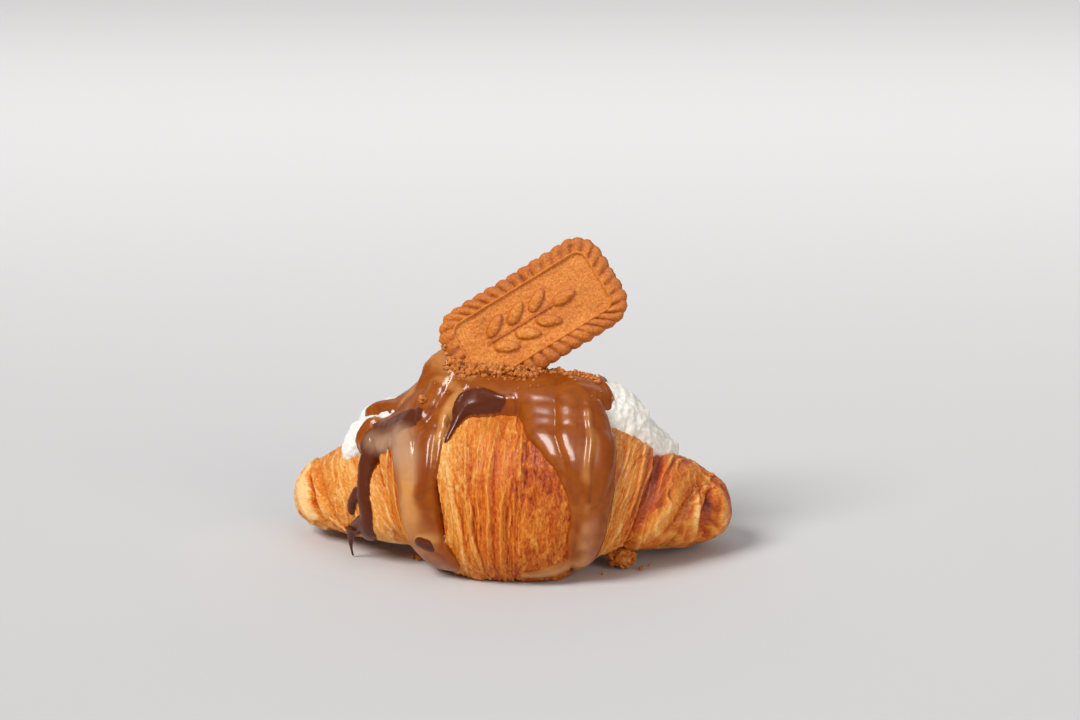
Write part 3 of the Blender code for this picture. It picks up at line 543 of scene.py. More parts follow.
# ---- The sauces
# Warm biscuit spread and melted chocolate, poured over the filled roll: they run down in the hollows beside
# the middle wrap, bridge the creases, merge where they meet, and end in rounded fronts. Each stream is a
# chain of (wrap coordinate mm, angle from the top, half width mm, thickness mm).
SPREAD = (
    # over the cream, and in front of it
    ((-35, 0, 6, 1.8), (-28, 0, 9.5, 2.2), (-15, 0.5, 12.6, 2.4), (0, 0.5, 12.3, 2.4), (13, 1, 13.4, 2.4),
     (22, 3, 10, 2.2), (27.5, 5, 6, 1.8)),
    ((-21, 15, 6, 2), (-15, 14, 5, 1.6), (-9, 13.5, 2, 1.6), (-4, 14, 1.8, 2), (1, 14, 1.8, 1.8)),
    # a knob beside the biscuit's end
    ((-27.6, 0, 4.4, 6), (-22.8, -3, 4.6, 7.4)),
    # a hooked finger to the left, and the shoulder in front of it
    ((-30, 8, 6, 1.8), (-36, 5, 3.2, 1.8), (-42, 4.5, 2.3, 1.8), (-46.5, 4, 2.1, 1.8),
     (-48.8, 6.5, 1.9, 1.6)),
    ((-29, 14, 8, 2), (-35, 20.5, 5.5, 2), (-41, 23.5, 4, 1.9), (-46, 27, 3.6, 1.9), (-49.4, 34, 3, 1.8),
     (-49.4, 41, 2.6, 1.6)),
    # down the hollow at the left of the middle wrap
    ((-25, 9, 10, 2.2), (-28, 27, 10, 2.2), (-28, 45, 9.2, 2.2), (-28, 62, 8, 2.2), (-28, 78, 7.2, 2.1),
     (-27.4, 94, 6.6, 1.9), (-25.6, 105, 6.6, 1.8), (-21, 115, 6.6, 1.7)),
    # the broad one on the right, and from it along the middle wrap's foot
    ((15, 6, 14, 2.4), (19, 26, 14.6, 2.3), (24, 43, 11.8, 2.2), (28.4, 62, 8.4, 2.2),
     (30.6, 78, 6.8, 2.1), (31.6, 93, 6.2, 2), (32, 109, 5.8, 2.2)),
    ((32, 111, 4, 1.8), (25, 116, 3.6, 1.1), (17, 119, 3, 0.8), (9, 121, 2, 0.5)),
    # three at the back
    ((-31, -12, 9, 2.2), (-32, -38, 7, 2.2), (-31, -62, 5, 2.1), (-30, -80, 5.4, 2.3)),
    ((2, -14, 12, 2.4), (2, -38, 7, 2.2), (3, -62, 4.6, 2.1), (3, -88, 5, 2.3)),
    ((21, -10, 11, 2.3), (25, -34, 9, 2.2), (29, -58, 6, 2.2), (30, -84, 4.8, 2.1), (29, -106, 5.4, 2.3)),
)
CHOCOLATE = (
    # a swirl down the middle wrap's left edge, and along its top
    ((-1, 14, 0.3, 0.5), (-3, 13.6, 1, 0.9), (-5.5, 12.8, 2, 1.4), (-8.5, 12.4, 2.8, 1.8),
     (-11, 13.4, 3.2, 2), (-12.8, 16, 3, 1.9), (-14.2, 19.5, 2.5, 1.7), (-15.4, 24, 1.9, 1.4),
     (-16.5, 30, 1.4, 1.1), (-17.6, 39, 0.9, 0.8)),
    ((-11.5, 17, 2, 1.4), (-8.5, 15.2, 2.2, 1.6), (-5.5, 14.8, 2, 1.5), (-3, 14.8, 1.5, 1.2),
     (-1.4, 15, 0.8, 0.8)),
    # down the left side, out to the thread, and a drip beside it
    ((-27.6, 26, 2, 1.2), (-33, 27, 4, 1.3), (-39, 31, 5.6, 1.5), (-44.5, 34, 5.4, 1.6),
     (-48.6, 42, 4, 1.8), (-51.4, 53, 3.2, 2), (-53.2, 66, 2.7, 2), (-54.4, 78, 2.5, 2), (-55, 90, 2.6, 2),
     (-56, 98, 3, 2), (-57, 106, 3.6, 2), (-57.8, 113, 3, 1.8)),
    ((-57, 97, 2.4, 1.6), (-59.4, 104, 2.2, 1.6), (-60.4, 111, 1.7, 1.4)),
    ((-56, 74, 2, 1.5), (-58, 82, 1.9, 1.6), (-58.6, 88, 1.7, 1.6)),
    # a spot low on the spread, and one stream at the back
    ((-30, 102, 1.2, 1), (-28, 101, 2, 2), (-25.8, 102.5, 2.2, 2.2), (-24.2, 105, 1.4, 1.4)),
    ((-7, -12, 3, 1.4), (-10, -30, 3, 1.4), (-12, -52, 2.8, 1.4), (-12.5, -74, 2.6, 1.4),
     (-12, -90, 3.2, 1.6)),
)
MILKY_AND_REFLECTION = (
    ((-48, 36, 3, 0.5), (-44, 37, 5, 0.9), (-39, 38, 7, 1), (-34, 42, 7.5, 1), (-31, 52, 6.5, 0.9),
     (-30, 62, 5, 0.4)),
    ((-28, 110, 4, 0.4), (-18, 124, 5, 0.6), (-13, 129, 4, 0.5)),
    ((-12, 11, 1.6, 0.4), (-8, 9.5, 1.4, 0.3)),
    ((32, 85, 4, 0.3), (33, 108, 4, 0.4)),
)  # where chocolate and spread have run into each other, grey-mauve there also as a painted reflection of the light on the wet sauce: shares from 0 to 1
PALE = (
    ((-22, 8, 3, 0.4), (-15.5, 13, 2.6, 0.7), (-18, 21, 3, 0.9), (-20.5, 34, 3.4, 0.9), (-22, 48, 3, 0.6)),
    ((-33, 36, 4, 0.5), (-31, 48, 5, 0.9), (-31, 62, 5.5, 1), (-33, 76, 5, 0.9), (-32, 90, 5.5, 0.7),
     (-27, 102, 6, 0.5)),
    ((-27, 97, 3, 0.9), (-23, 99, 3, 0.9)),
    ((-31, 6, 2.4, 0.6), (-38, 12, 2, 0.7), (-45, 20, 2, 0.7)),
    ((-30, -2, 4, 0.5), (-22, 2, 4, 0.6), (-14, 4, 4, 0.4)),
    ((25, 24, 2, 0.4), (26.5, 45, 2.4, 0.5), (27.5, 60, 2.6, 0.4)),
    ((28.6, 76, 1.6, 0.4), (29, 100, 2.2, 0.5)),
    ((30, 112, 4, 0.6), (20, 117, 4, 0.9), (9, 121, 3, 0.8)),
)  # where the spread is thin and pale
DEEP = (
    ((-23, 38, 2.6, 0.8), (-24, 51, 3.2, 1), (-24.6, 63, 3.4, 1), (-25.4, 78, 3, 0.7), (-22, 96, 3, 0.4)),
    ((29, 20, 6, 0.5), (31, 42, 5, 0.6), (32, 60, 4, 0.5)),
)  # where it is thick and dark
FOLDS = (
    ((24, 4, 9, 1), (25, 18, 11, 2.4), (26, 36, 11, 3), (27.2, 52, 8.5, 2.5), (28.6, 68, 5, 1)),
    ((24.2, 8, 2, 1.2), (25.4, 24, 1.8, 3.2), (26.4, 40, 1.7, 3.5), (27.4, 58, 1.5, 2.8),
     (28, 72, 1.2, 1.1)),
    ((33.6, 26, 1.5, 0.7), (34.6, 42, 1.5, 0.9), (35, 58, 1.4, 0.7)),
    ((-23.4, 32, 2.6, 0.8), (-24.4, 44, 3, 1.3), (-24.8, 58, 2.8, 1.3), (-25.8, 72, 2.2, 0.8)),
    ((-36, 34, 4, 0.8), (-32.4, 44, 4, 1.1), (-30.6, 60, 3, 0.8)),
    ((-21.5, 4, 3.6, 0.8), (-23.5, 12, 3.6, 1.5), (-25.6, 20, 3.2, 1.9), (-26.6, 27, 2.2, 1.6)),
    ((-14.5, 9, 2, 0.6), (-17.8, 20, 2.2, 0.8), (-20.4, 36, 2, 0.6)),
    ((-27, 2, 3, 0.9), (-33, 6, 2.8, 0.9), (-40, 13, 2.2, 0.6)),
)  # swells and ridges in the spread where one run has set on another
NEAR = [(dw, turn) for dw in (-4, -2, 0, 2, 4) for turn in (-14, -7, 0, 7, 14)]  # what it bridges, mm, degrees
EASE, EASE_STEPS, EASE_REACH = 3.2 * MM, 1431, 120  # and at the wraps' edges
SAUCE_GRID = 0.46 * MM  # between its rings
SAUCE_DIP = 1.6 * MM  # how far the skin of the sauce dips under the crust at its edge


def soft_max(p, q, k):
    """The greater of two, with the corner between them filled over about k."""
    h = np.maximum(k - np.abs(p - q), 0) / k
    return np.maximum(p, q) + h * h * k * 0.25


ease_w = np.linspace(-TIP_X, TIP_X, EASE_STEPS)
ease_by = np.exp(-((np.arange(-EASE_REACH, EASE_REACH + 1) * (ease_w[1] - ease_w[0]) / EASE) ** 2))
eased = np.convolve(np.pad(wrap_relief(ease_w), EASE_REACH, "edge"), ease_by / ease_by.sum(), "valid")


def eased_relief(w):
    """The wraps' relief with its steps smoothed out, as the sauce fills them."""
    return np.interp(w, ease_w, eased)


def filled_radius(w, phi, lobe=True, relief=wrap_relief):
    """Distance from the axis to the crust or to the cream over it: what the sauce lies on."""
    a = along_axis(w, phi)
    main = np.where(np.abs(a) < CREAM_END, cream_reach(a, phi, False), 0)
    r = soft_max(crust_radius(w, phi, relief), main, 3 * MM)
    if lobe:
        r = soft_max(r, np.where(np.abs(a - LOBE[0]) < LOBE_SIZE[0], cream_reach(a, phi, True), 0), 2 * MM)
    return r


def stream_ends(rows):
    """The chain's points on the filled roll, between its nodes too, and its sizes there."""
    rows = np.array(rows, float)
    fine = np.linspace(0, len(rows) - 1, 4 * len(rows) - 3)
    rows = np.stack([np.interp(fine, np.arange(len(rows)), column) for column in rows.T], -1)
    w, phi = rows[:, 0] * MM, rows[:, 1] * DEG
    return place(w, phi, filled_radius(w, phi, False)), rows[:, 2:]


def stream_height(points, streams, edge, k=1.2 * MM):
    """Thickness of the sauce over each point; below 0 outside the streams. edge says how steeply they end."""
    def profile(far, half, thick):
        inside = np.sqrt(np.maximum(1 - (far / (half * MM)) ** edge, 0))
        return np.where(far < half * MM, thick * MM * inside, np.maximum((half * MM - far) * 1.5, -SAUCE_DIP))
    total = np.full(len(points), -SAUCE_DIP)
    for rows in streams:
        best = np.maximum(chain(points, *stream_ends(rows), profile), -SAUCE_DIP)
        both = smooth(np.minimum(total, best) / MM + 1)
        total = np.maximum(total, best) + both * (soft_max(total, best, k) - np.maximum(total, best))
    return total


sauce_looks = {}  # the shares of chocolate, of mixed sauce with its painted reflection, of pale and of deep sauce at each point, and its thickness


def sauce_form(w, phi):
    """Where the sauce's skin goes: over what it lies on, or just under it where there is no sauce."""
    r = filled_radius(w, phi)
    points = place(w, phi, filled_radius(w, phi, False))
    wander = np.stack([grain(points, 6 * MM, 21 + k) for k in range(3)], -1)
    dark = stream_height(points + 0.25 * MM * wander, CHOCOLATE, 2, 0.8 * MM)
    points = points + 0.5 * MM * wander
    spread = stream_height(points, SPREAD, 4)
    fold = np.maximum(stream_height(points, FOLDS, 2), 0)
    t = np.maximum(dark, spread + (fold + 0.45 * np.maximum(dark, 0)) * (spread > 0))
    on_crust = 1 - smooth((r - crust_radius(w, phi)) / (2 * MM))
    around = [filled_radius(w + dw * MM, phi + turn * DEG, relief=eased_relief) for dw, turn in NEAR]
    near = np.mean(around, axis=0)
    bridged = np.maximum((0.45 - 0.05 * t / MM) * t, t + (near - r) * smooth(t / (1.5 * MM)))
    t = np.where(t > 0, bridged, t)
    t = t + 0.1 * MM * grain(points, 7 * MM, 31) * smooth(t / MM)
    blurred = points + 1.2 * MM * wander
    tints = [shares(blurred, streams, stream_ends, 1.15) for streams in (MILKY_AND_REFLECTION, PALE, DEEP)]
    leaves = flaky(w, phi)[0] * on_crust * (1 - smooth(t / (0.8 * MM)))  # at its edge it lies in the grooves
    r = r - leaves + 0.15 * MM + t
    z, c = roll_section(along_axis(w, phi))[1], np.cos(phi)
    r = np.where(c < -0.01, np.minimum(r, (z - 0.3 * MM) / np.maximum(-c, 0.01)), r)  # just above the table
    sauce_looks.update(zip(("cocoa", "milky_and_reflection", "pale", "deep"), (dark / MM, *tints)))
    sauce_looks["thick"] = t / MM
    return place(w, phi, np.where((w <= rings[0]) | (w >= rings[-1]), 0, r))


def spaced(start, end, step):
    """Values from start to end, about that far apart."""
    return list(np.linspace(start, end, max(2, round(abs(end - start) / step) + 1)))


rings = spaced(-64 * MM, 46 * MM, SAUCE_GRID)
turns = spaced(-130 * DEG, -45 * DEG, 1.5 * DEG)[:-1] + spaced(-45 * DEG, 134 * DEG, 0.82 * DEG)
turns = [-170 * DEG, -150 * DEG] + turns + [150 * DEG, 170 * DEG]  # coarse where no sauce runs
mesh, w, phi = skin("poured_sauces", rings, turns, sauce_form)
thick = sauce_looks.pop("thick") * MM
sauce = piece("poured_sauces", mesh, sauce_looks)
bm = bmesh.new()
bm.from_mesh(mesh)
bm.verts.ensure_lookup_table()
bare = (thick < -0.9 * SAUCE_DIP) | (w <= rings[0]) | (w >= rings[-1])
hidden = [f for f in bm.faces if all(bare[v.index] for v in f.verts)]
bmesh.ops.delete(bm, geom=hidden, context="FACES")
bmesh.ops.delete(bm, geom=[v for v in bm.verts if not v.link_faces], context="VERTS")
bm.to_mesh(mesh)
bm.free()
shell = sauce.modifiers.new("depth", "SOLIDIFY")
shell.thickness, shell.offset = 1.2 * MM, -1
settled(sauce)

# A thread of chocolate hangs from the left stream to the table, bowed a little to the left.
THREAD_TOP, THREAD_UP = ((-60, 107, 1, 1), (-60, 109, 1, 1)), 0.6 * MM  # it starts that far above the chain
THREAD_FOOT, THREAD_BOW = (-54 * MM, -3 * MM, 0.6 * MM), 0.9 * MM
THREAD_END, THREAD_FLARE, FLARE_POWER = 0.35, 2.6, 2.5  # radius at the foot, and more at the top, mm
THREAD_SIDES, THREAD_CUTS = 16, 12
thread_top = stream_ends(THREAD_TOP)[0][0] + np.array((0, 0, THREAD_UP))
thread_foot = np.array(THREAD_FOOT)
bm = bmesh.new()
bm.from_mesh(sauce.data)
before = len(bm.verts)
made = bmesh.ops.create_cone(bm, cap_ends=True, segments=THREAD_SIDES, radius1=1, radius2=1, depth=1)["verts"]
sides = list({e for v in made for e in v.link_edges if abs(e.verts[0].co.z - e.verts[1].co.z) > 0.5})
bmesh.ops.subdivide_edges(bm, edges=sides, cuts=THREAD_CUTS)
cocoa_layer = bm.verts.layers.float["cocoa"]
for v in list(bm.verts)[before:]:
    q = 0.5 - v.co.z  # from 0 at the top to 1 at the foot
    bow = np.array((-THREAD_BOW * math.sin(math.pi * q), 0, 0))
    point = thread_top + (thread_foot - thread_top) * q + bow
    size = (THREAD_FLARE * (1 - q) ** FLARE_POWER + THREAD_END) * MM
    v.co = (point[0] + v.co.x * size, point[1] + v.co.y * size, point[2])
    v[cocoa_layer] = 1
bm.to_mesh(sauce.data)
bm.free()

# Biscuit spread: a fat, sugary paste, warmed until it runs, so it has a wet shine over a caramel brown.
# Chocolate: the same shine, dark brown, and greyer where it has mixed with the spread; part of that grey-mauve
# is a painted reflection of the light.
glossy, tree, shader = surface(
    "warm_biscuit_spread_and_chocolate", Roughness=0.35, IOR=1.45, Specular_IOR_Level=0.1,
    Coat_Weight=0.55, Coat_Roughness=0.16, Coat_IOR=1.4)
where = node(tree, "TexCoord").outputs["Object"]
swirl = noise(tree, where, 8, 2, Distortion=1.5)
base = node(tree, "ValToRGB", {"Fac": swirl}, stops=((0.3, "#873d06"), (0.7, "#9c5010"))).outputs[0]
# The mixed share is grey-mauve: partly spread and chocolate run together, partly a painted reflection of the
# light.
TINTS = (
    ("pale", 0.9, "#cf9050"), ("deep", 0.9, "#863a06"), ("cocoa", 4, "#5a260f"), ("milky_and_reflection", 0.85, "#b48a6c"),
)
for key, most, code in TINTS:  # the sharp-edged chocolate, over 1, isn't broken up by the swirls
    there = held(tree, key)
    broken = weigh(tree, most - 0.35 * (most < 1), (swirl, 0.7 * (most < 1)))
    share = node(tree, "Math", {0: there, 1: broken}, operation="MULTIPLY", use_clamp=True).outputs[0]
    mixed = {"Factor": share, "A": base, "B": linear(code)}
    base = node(tree, "Mix", mixed, data_type="RGBA").outputs["Result"]
tree.links.new(base, shader.inputs["Base Color"])
wave, drawn = noise(tree, where, 5, 1), noise(tree, where, (1.6, 1.6, 8), 1)  # drawn out downward
roughen(tree, shader, weigh(tree, (wave, 0.8), (drawn, 0.2)), 0.25, 1 * MM)
sauce.data.materials.clear()
sauce.data.materials.append(glossy)
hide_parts("sauce")
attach(sauce, "root")

# ---- The biscuit
# A thin crisp biscuit of caramelised dough, pressed in a mould and baked: a scalloped edge, a fluted rim, and
# a sunk panel with a raised ear of wheat. It stands in the cream, leaning back.
BISCUIT_LONG, BISCUIT_WIDE, BISCUIT_THICK = 62 * MM, 33 * MM, 7.5 * MM
BISCUIT_AT = (7 * MM, 5.5 * MM, 81.2 * MM)
BISCUIT_TILT, BISCUIT_LEAN, BISCUIT_TURN = 33, 20, 5
STAND = (
    Matrix.Translation(BISCUIT_AT) @ Matrix.Rotation(-BISCUIT_TURN * DEG, 4, "Z")
    @ Matrix.Rotation((90 - BISCUIT_LEAN) * DEG, 4, "X") @ Matrix.Rotation(BISCUIT_TILT * DEG, 4, "Z")
)
TURNED = np.array(STAND)[:3, :3]
CORNER = 9 * MM
LOBES, LOBE_STEPS, LOBE_OUT = 40, 10, 0.6 * MM  # how many, points to each, how far they stand out
FLUTE = 0.95 * MM  # depth of the rim's flutes, at the panel
STALK_AT, STALK_HALF, STALK_HIGH = -2 * MM, (16 * MM, 0.55 * MM), 0.7 * MM
GRAIN_ROWS, GRAIN_STEP, GRAIN_OUT, GRAIN_TURN = 3, 8.2 * MM, 4 * MM, 32
GRAIN_HALF, GRAIN_HIGH = (4.6 * MM, 2.1 * MM), 1.6 * MM


def tablet(u, inset, lobes):
    """Points of the biscuit's outline at the share u of its length, so far inside its edge."""
    long, wide = BISCUIT_LONG - 2 * inset, BISCUIT_WIDE - 2 * inset
    corner = np.maximum(CORNER - inset, 2.5 * MM)
    runs = (wide - 2 * corner, long - 2 * corner) * 2
    arc = math.pi / 2 * corner
    d = u * (sum(runs) + 4 * arc)
    lobe = lobes * (np.abs(np.sin(math.pi * LOBES * u)) ** 0.8 - 1)
    x, y = np.zeros_like(d), np.zeros_like(d)
    for heading, run in zip((90, 180, 270, 0), runs):
        h = heading * DEG
        ahead, out = (math.cos(h), math.sin(h)), (math.sin(h), -math.cos(h))
        reach = long if heading % 180 else wide
        turn = np.clip((d - run) / corner, 0, math.pi / 2)
        for k, side in enumerate((x, y)):
            start = (out[k] * reach - ahead[k] * run) / 2
            side[:] = np.where((d >= 0) & (d <= run), start + ahead[k] * d + out[k] * lobe, side)
            way = out[k] * np.cos(turn) + ahead[k] * np.sin(turn)
            centre = start + ahead[k] * run - out[k] * corner
            side[:] = np.where((d > run) & (d <= run + arc), centre + way * (corner + lobe), side)
        d = d - run - arc
    return x, y


PROFILE = (
    # share of the way out from the middle, inset from the edge, height over the middle plane, lobes, flutes
    *((q, 6.1, 2.85, 0, 0) for q in np.linspace(0, 1, 60)),  # the panel
    *((1, *row) for row in (
        (5.95, 2.95, 0, 0), (5.8, 3.3, 0, 0), (5.65, 3.65, 0, 0), (5.45, 3.8, 0, 0), (5.25, 3.75, 0, 0.1),
        (5.05, 3.5, 0.1, 0.4), (4.85, 3.5, 0.1, 0.8), (4.6, 3.6, 0.2, 1), (4.2, 3.6, 0.2, 1),
        (3.8, 3.62, 0.3, 1), (3.4, 3.62, 0.3, 1), (3, 3.62, 0.4, 0.95), (2.6, 3.6, 0.5, 0.85),
        (2.2, 3.55, 0.6, 0.75), (1.8, 3.45, 0.7, 0.65), (1.4, 3.3, 0.8, 0.55), (1, 3.05, 0.9, 0.45),
        (0.6, 2.65, 1, 0.35), (0.3, 2.2, 1, 0.2), (0.1, 1.7, 1, 0.1), (0, 1, 1, 0), (0, 0.2, 1, 0),
        (0, -0.8, 1, 0), (0.05, -1.8, 1, 0), (0.2, -2.6, 0.9, 0), (0.6, -3.3, 0.6, 0),
        (1.2, -3.65, 0.3, 0))),  # the rim and the edge
    *((q, 2, -3.75, 0, 0) for q in np.linspace(1, 0, 26)),  # the back
)


def wheat(x, y):
    """Height of the raised ear of wheat on the panel: a stalk, grains in pairs, and one at its end."""
    ends = smooth((STALK_HALF[0] - np.abs(x - STALK_AT)) / MM)
    high = STALK_HIGH * smooth(1.6 - np.abs(y) / STALK_HALF[1]) * ends
    for k in range(GRAIN_ROWS + 1):
        for side in (-1, 1) if k < GRAIN_ROWS else (0,):
            dx, dy = x - (k - GRAIN_ROWS / 2) * GRAIN_STEP, y - side * GRAIN_OUT
            c, s = math.cos(side * GRAIN_TURN * DEG), math.sin(side * GRAIN_TURN * DEG)
            p, q = (dx * c + dy * s) / GRAIN_HALF[0], (-dx * s + dy * c) / GRAIN_HALF[1]
            crown = np.maximum(1 - (p * p + q * q * np.maximum(1 + 0.35 * p, 0.5)), 0)
            high = np.maximum(high, GRAIN_HIGH * crown**0.4)
    return high


def valleys(u):
    """How deep in the valley between two lobes the place is."""
    return 1 - np.abs(np.sin(math.pi * LOBES * u)) ** 0.7


def biscuit_form(a, u):
    """Where the biscuit's skin goes, at step a of the profile and share u of the edge."""
    share, inset, level, lobes, flutes = np.array(PROFILE)[np.rint(a).astype(int)].T
    inset, level = inset * MM, level * MM
    x, y = tablet(u, inset, lobes * LOBE_OUT)
    x, y = x * share, y * share
    front = level > 0
    level = level - FLUTE * flutes * valleys(u) * (1 + 0.5 * grain(np.stack([x, y, x], -1), 6 * MM, 44))
    level = level + wheat(x, y) * front * (inset > 6 * MM)
    at = np.stack([x, y, level], -1)
    rough = 0.2 * grain(at, 1.1 * MM, 41) + 0.16 * grain(at, 0.6 * MM, 42)
    push = (rough + 0.24 * grain(at, 4 * MM, 43)) * MM
    edge = (np.abs(level) < 3 * MM) & (inset < 1 * MM)
    away = np.where(edge, push, 0)
    size = np.hypot(x, y) + 1e-9
    level = level + np.where(front, push - 0.1 * MM, np.maximum(push, -0.2 * MM)) * ~edge
    at = np.stack([x * (1 + away / size), y * (1 + away / size), level], -1)
    return at @ TURNED.T + np.array(STAND)[:3, 3]


u = np.linspace(0, 1, LOBES * LOBE_STEPS + 1)[:-1]
mesh, a, u = skin("caramelised_biscuit", np.arange(len(PROFILE), dtype=float), u, biscuit_form)
_, inset, level, _, flutes = np.array(PROFILE)[np.rint(a).astype(int)].T
own = np.array([v.co for v in mesh.vertices]) @ TURNED - TURNED.T @ np.array(BISCUIT_AT)
ear = wheat(own[:, 0], own[:, 1]) / GRAIN_HIGH * (inset > 6) * (level > 0)
# Darker towards the edge, and darker in the flutes' valleys, which is painted shade.
toast_and_shade = 0.5 - 0.25 * smooth((6 - inset) / 4) - 0.5 * flutes * valleys(u)
toast_and_shade = toast_and_shade - 0.35 * smooth(ear / 0.3) * smooth((0.85 - ear) / 0.3)  # painted shade at the foot of what is raised
biscuit = piece("caramelised_biscuit", mesh, {"toast_and_shade": toast_and_shade})

# Caramelised biscuit dough: a dry, sandy, even brown, lighter where a crystal of sugar or a raised edge catches
# the light, darker towards the edge, and darker in the flutes and at the foot of the raised ear, where shade is
# painted in.
baked_dough, tree, shader = surface("caramelised_biscuit_dough", Roughness=0.75, IOR=1.45)
where = node(tree, "TexCoord").outputs["Object"]
toast_and_shade = held(tree, "toast_and_shade")
sand, cloud = noise(tree, where, 0.7, 4, Roughness=0.7), noise(tree, where, 9, 2)
speck = node(tree, "TexVoronoi", {"Vector": where, "Scale": 1 / (0.9 * MM)}, feature="F1").outputs["Distance"]
tint(tree, shader, weigh(tree, -0.4, (sand, 0.95), (cloud, 0.35), (toast_and_shade, 0.5), (speck, 0.1)),
     (0.05, "#7c3606"), (0.3, "#b35a10"), (0.55, "#d0771f"), (0.9, "#f3ae54"))
roughen(tree, shader, weigh(tree, (sand, 0.8), (speck, 0.3)), 0.8, 0.35 * MM)
biscuit.data.materials.append(baked_dough)
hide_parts("biscuit")
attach(biscuit, "root")

# ---- The crumbs
# Broken bits of the same biscuit: a ridge of them where it goes into the sauce, some strewn on the sauce, a
# clump and a few single ones on the table in front.
CRUMBS_SEED = 7
RIDGE_CRUMBS, STREWN_CRUMBS, CLUMP_CRUMBS = 560, 46, 70
HEAP, HEAP_BESIDE = 3 * MM, 1.4 * MM  # how high they lie at the biscuit's foot, and right of it
LUMPS = ((-13, 1.5), (-9.5, 2.1), (-6.5, 1.7), (1.5, 1.3), (9, 1.2))  # larger bits there: place and size, mm
LUMP_ON_SAUCE = (-29.6 * MM, -10 * MM)
CLUMP_AT, CLUMP_SIZE = (36.6 * MM, -15 * MM, 3.9 * MM), (4.9 * MM, 3.6 * MM, 3.4 * MM)
CLUMP_CORES = ((-2.2, -0.6, 2.6), (0.6, 0.3, 3.2), (3, 0.4, 2))  # to the right, up, and size, in mm
FALLEN = ((43, -17, 0.8), (30, -22, 0.6), (-31.5, -6.5, 1.3), (-33.5, -5, 0.9), (46, -13, 0.5))
rng = np.random.default_rng(CRUMBS_SEED)


def crumb(bm, at, size, steps=1):
    """A bit broken off: a ball with its corners pushed about."""
    made = bmesh.ops.create_icosphere(bm, subdivisions=steps, radius=1)["verts"]
    stretch = rng.uniform(0.65, 1.25, 3)
    spin = Matrix.Rotation(rng.uniform(0, 6.28), 3, Vector(rng.normal(size=3)))
    co = np.array([v.co for v in made])
    coarse = 0.33 * grain(co + rng.uniform(0, 90, 3), 0.8, 51)
    fine = 0.25 * grain(co + rng.uniform(0, 90, 3), 0.4, 52)
    co = co * (1 + coarse + fine)[:, None]
    for v, c in zip(made, co * stretch * size):
        v.co = spin @ Vector(c) + Vector(at)


def crumbs_piece(name, bm):
    """A piece of all the crumbs in bm, with flat facets."""
    bmesh.ops.recalc_face_normals(bm, faces=bm.faces)
    mesh = bpy.data.meshes.new(name)
    bm.to_mesh(mesh)
    bm.free()
    ob = piece(name, mesh)
    mesh.shade_flat()
    ob.data.materials.append(crumbly)
    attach(ob, "root")


crumbly, tree, shader = surface("broken_biscuit_crumb", Roughness=0.8, IOR=1.45)
where = node(tree, "TexCoord").outputs["Object"]
sand = noise(tree, where, 1.1, 4, Roughness=0.7)
tint(tree, shader, sand, (0.3, "#8c3f0a"), (0.5, "#c26d1c"), (0.72, "#eaa552"))
roughen(tree, shader, sand, 0.8, 0.4 * MM)

sauce_tree = BVHTree.FromObject(sauce, bpy.context.evaluated_depsgraph_get())


def sauce_under(x, y):
    """Height of the sauce's top at x, y, or nothing."""
    hit = sauce_tree.ray_cast(Vector((x, y, 0.2)), Vector((0, 0, -1)))[0]
    return hit.z if hit else None


def foot(x):
    """Where the biscuit's front meets the sauce, at x, or nothing."""
    into = STAND.inverted()
    for y in np.arange(-14 * MM, 14 * MM, 0.3 * MM):
        z = sauce_under(x, y)
        if z is None:
            continue
        own = into @ Vector((x, y, z))
        if own.z < BISCUIT_THICK / 2 and abs(own.x) < BISCUIT_LONG / 2 and abs(own.y) < BISCUIT_WIDE / 2:
            return y
    return None


bm = bmesh.new()
for k in range(RIDGE_CRUMBS):
    x = rng.uniform(-23, 29) * MM
    y = foot(x)
    heap = HEAP if y is not None else HEAP_BESIDE
    if y is None:  # right of the biscuit's foot: along a line there
        y = 1.5 * MM - 0.12 * (x - 14 * MM) + rng.normal() * MM
    out = abs(rng.normal()) * 1.5 * MM
    z = sauce_under(x, y - out)
    if z is None:
        continue
    pile = rng.uniform(0, 1) * max(0, heap - out * 1.1)
    crumb(bm, (x, y - out, z + pile), (0.38 + 0.9 * rng.uniform() ** 2.2) * MM)
for x, size in LUMPS:
    y = foot(x * MM) - 1.2 * MM
    crumb(bm, (x * MM, y, sauce_under(x * MM, y) + 0.7 * size * MM), size * MM, 2)
crumbs_piece("crumbs_at_the_biscuits_foot", bm)
bm = bmesh.new()
for k in range(STREWN_CRUMBS):
    x, y = rng.uniform(-26, 34) * MM, rng.uniform(-13, 4) * MM
    z = sauce_under(x, y)
    if z is not None:
        crumb(bm, (x, y, z + 0.1 * MM), rng.uniform(0.2, 0.5) * MM)
crumb(bm, (*LUMP_ON_SAUCE, sauce_under(*LUMP_ON_SAUCE) + 0.8 * MM), 1.5 * MM, 2)
crumbs_piece("crumbs_on_the_sauce", bm)
bm = bmesh.new()
for dx, dz, size in CLUMP_CORES:
    crumb(bm, (CLUMP_AT[0] + dx * MM, CLUMP_AT[1], CLUMP_AT[2] + dz * MM), size * MM, 3)
for k in range(CLUMP_CRUMBS):
    way = Vector(rng.normal(size=3)).normalized()
    at = [CLUMP_AT[i] + way[i] * CLUMP_SIZE[i] * 0.85 for i in range(3)]
    crumb(bm, (at[0], at[1], max(at[2], 1.3 * MM)), rng.uniform(0.4, 1.3) * MM)
for x, y, size in FALLEN:
    crumb(bm, (x * MM, y * MM, 1.1 * size * MM), size * MM)
crumbs_piece("crumbs_on_the_table", bm)

# ---- The stage
# A pale seamless floor, broad daylight from the front left and a weaker one from the right, a panel above, a
# lit backdrop, and the camera.
floor = bpy.data.meshes.new("floor")
bm = bmesh.new()
bmesh.ops.create_grid(bm, x_segments=1, y_segments=1, size=6)
bm.to_mesh(floor)
bm.free()
floor = piece("floor", floor)
paper, tree, shader = surface("matt_pale_paper", Roughness=0.9)
shader.inputs["Base Color"].default_value = linear("#cfcece")
floor.data.materials.append(paper)


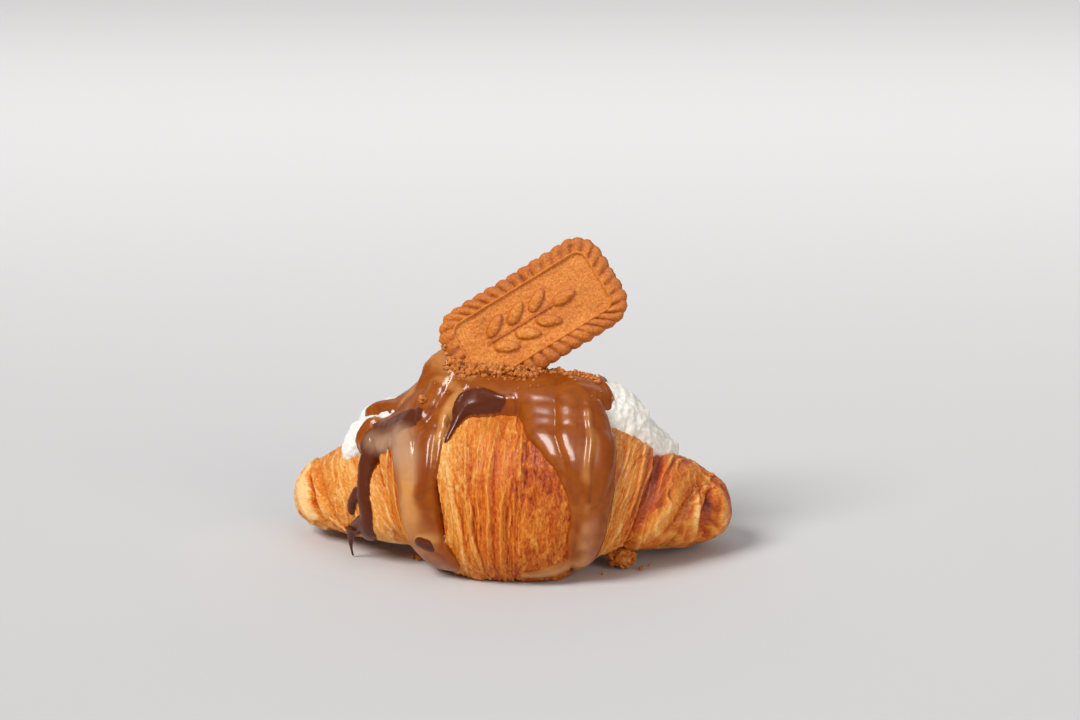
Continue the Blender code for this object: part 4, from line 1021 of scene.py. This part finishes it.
def light(kind, name, at, aim, power, tint="#ffffff", **shape):
    """A light at that place, or from that direction, turned to its aim."""
    lamp = bpy.data.lights.new(name, kind)
    lamp.energy, lamp.color = power, linear(tint)[:3]
    for key, value in shape.items():
        setattr(lamp, key, value)
    ob = bpy.data.objects.new(name, lamp)
    faces = (Vector(at) - Vector(aim)).to_track_quat("Z", "Y")
    ob.matrix_world = Matrix.Translation(at) @ faces.to_matrix().to_4x4()
    scene.collection.objects.link(ob)
    return ob


# Nothing mirrors the daylight, and the panel above lights nothing matt: it only shows mirrored in wet things.
left = light("SUN", "light_front_left", (-0.62, -0.5, 0.8), (0, 0, 0), 2.85, angle=26 * DEG)
right = light("SUN", "light_right", (0.6, -0.7, 0.35), (0, 0, 0), 0.9, "#fffaf2", angle=40 * DEG)
left.visible_glossy = right.visible_glossy = False
top_size = {"shape": "RECTANGLE", "size": 0.2, "size_y": 0.42}
light("AREA", "softbox_top", (0.07, -0.26, 0.6), (0.02, 0, 0.05), 8, **top_size).visible_diffuse = False
light("AREA", "softbox_backdrop", (0, 1.0, 0.6), (0, 1.0, 0), 5, shape="RECTANGLE", size=2.4, size_y=1.0)
world = bpy.data.worlds.new("studio")
scene.world = world
world.use_nodes = True
sky = world.node_tree.nodes["Background"].inputs
sky["Color"].default_value, sky["Strength"].default_value = linear("#f4f4f6"), 0.265
scene.view_settings.view_transform = "Standard"

CAMERA_RISE, CAMERA_FAR = 14 * DEG, 0.85  # the photograph's view, from straight ahead
CAMERA_AIM = Vector((9.3 * MM, 0, 68 * MM))
back = Vector((0, -math.cos(CAMERA_RISE), math.sin(CAMERA_RISE)))
camera = bpy.data.cameras.new("camera")
camera.lens, camera.sensor_width, camera.clip_start, camera.clip_end = 85, 36, 0.01, 20
camera = bpy.data.objects.new("camera", camera)
faces = back.to_track_quat("Z", "Y").to_matrix().to_4x4()
camera.matrix_world = Matrix.Translation(CAMERA_AIM + back * CAMERA_FAR) @ faces
scene.collection.objects.link(camera)
scene.camera = camera
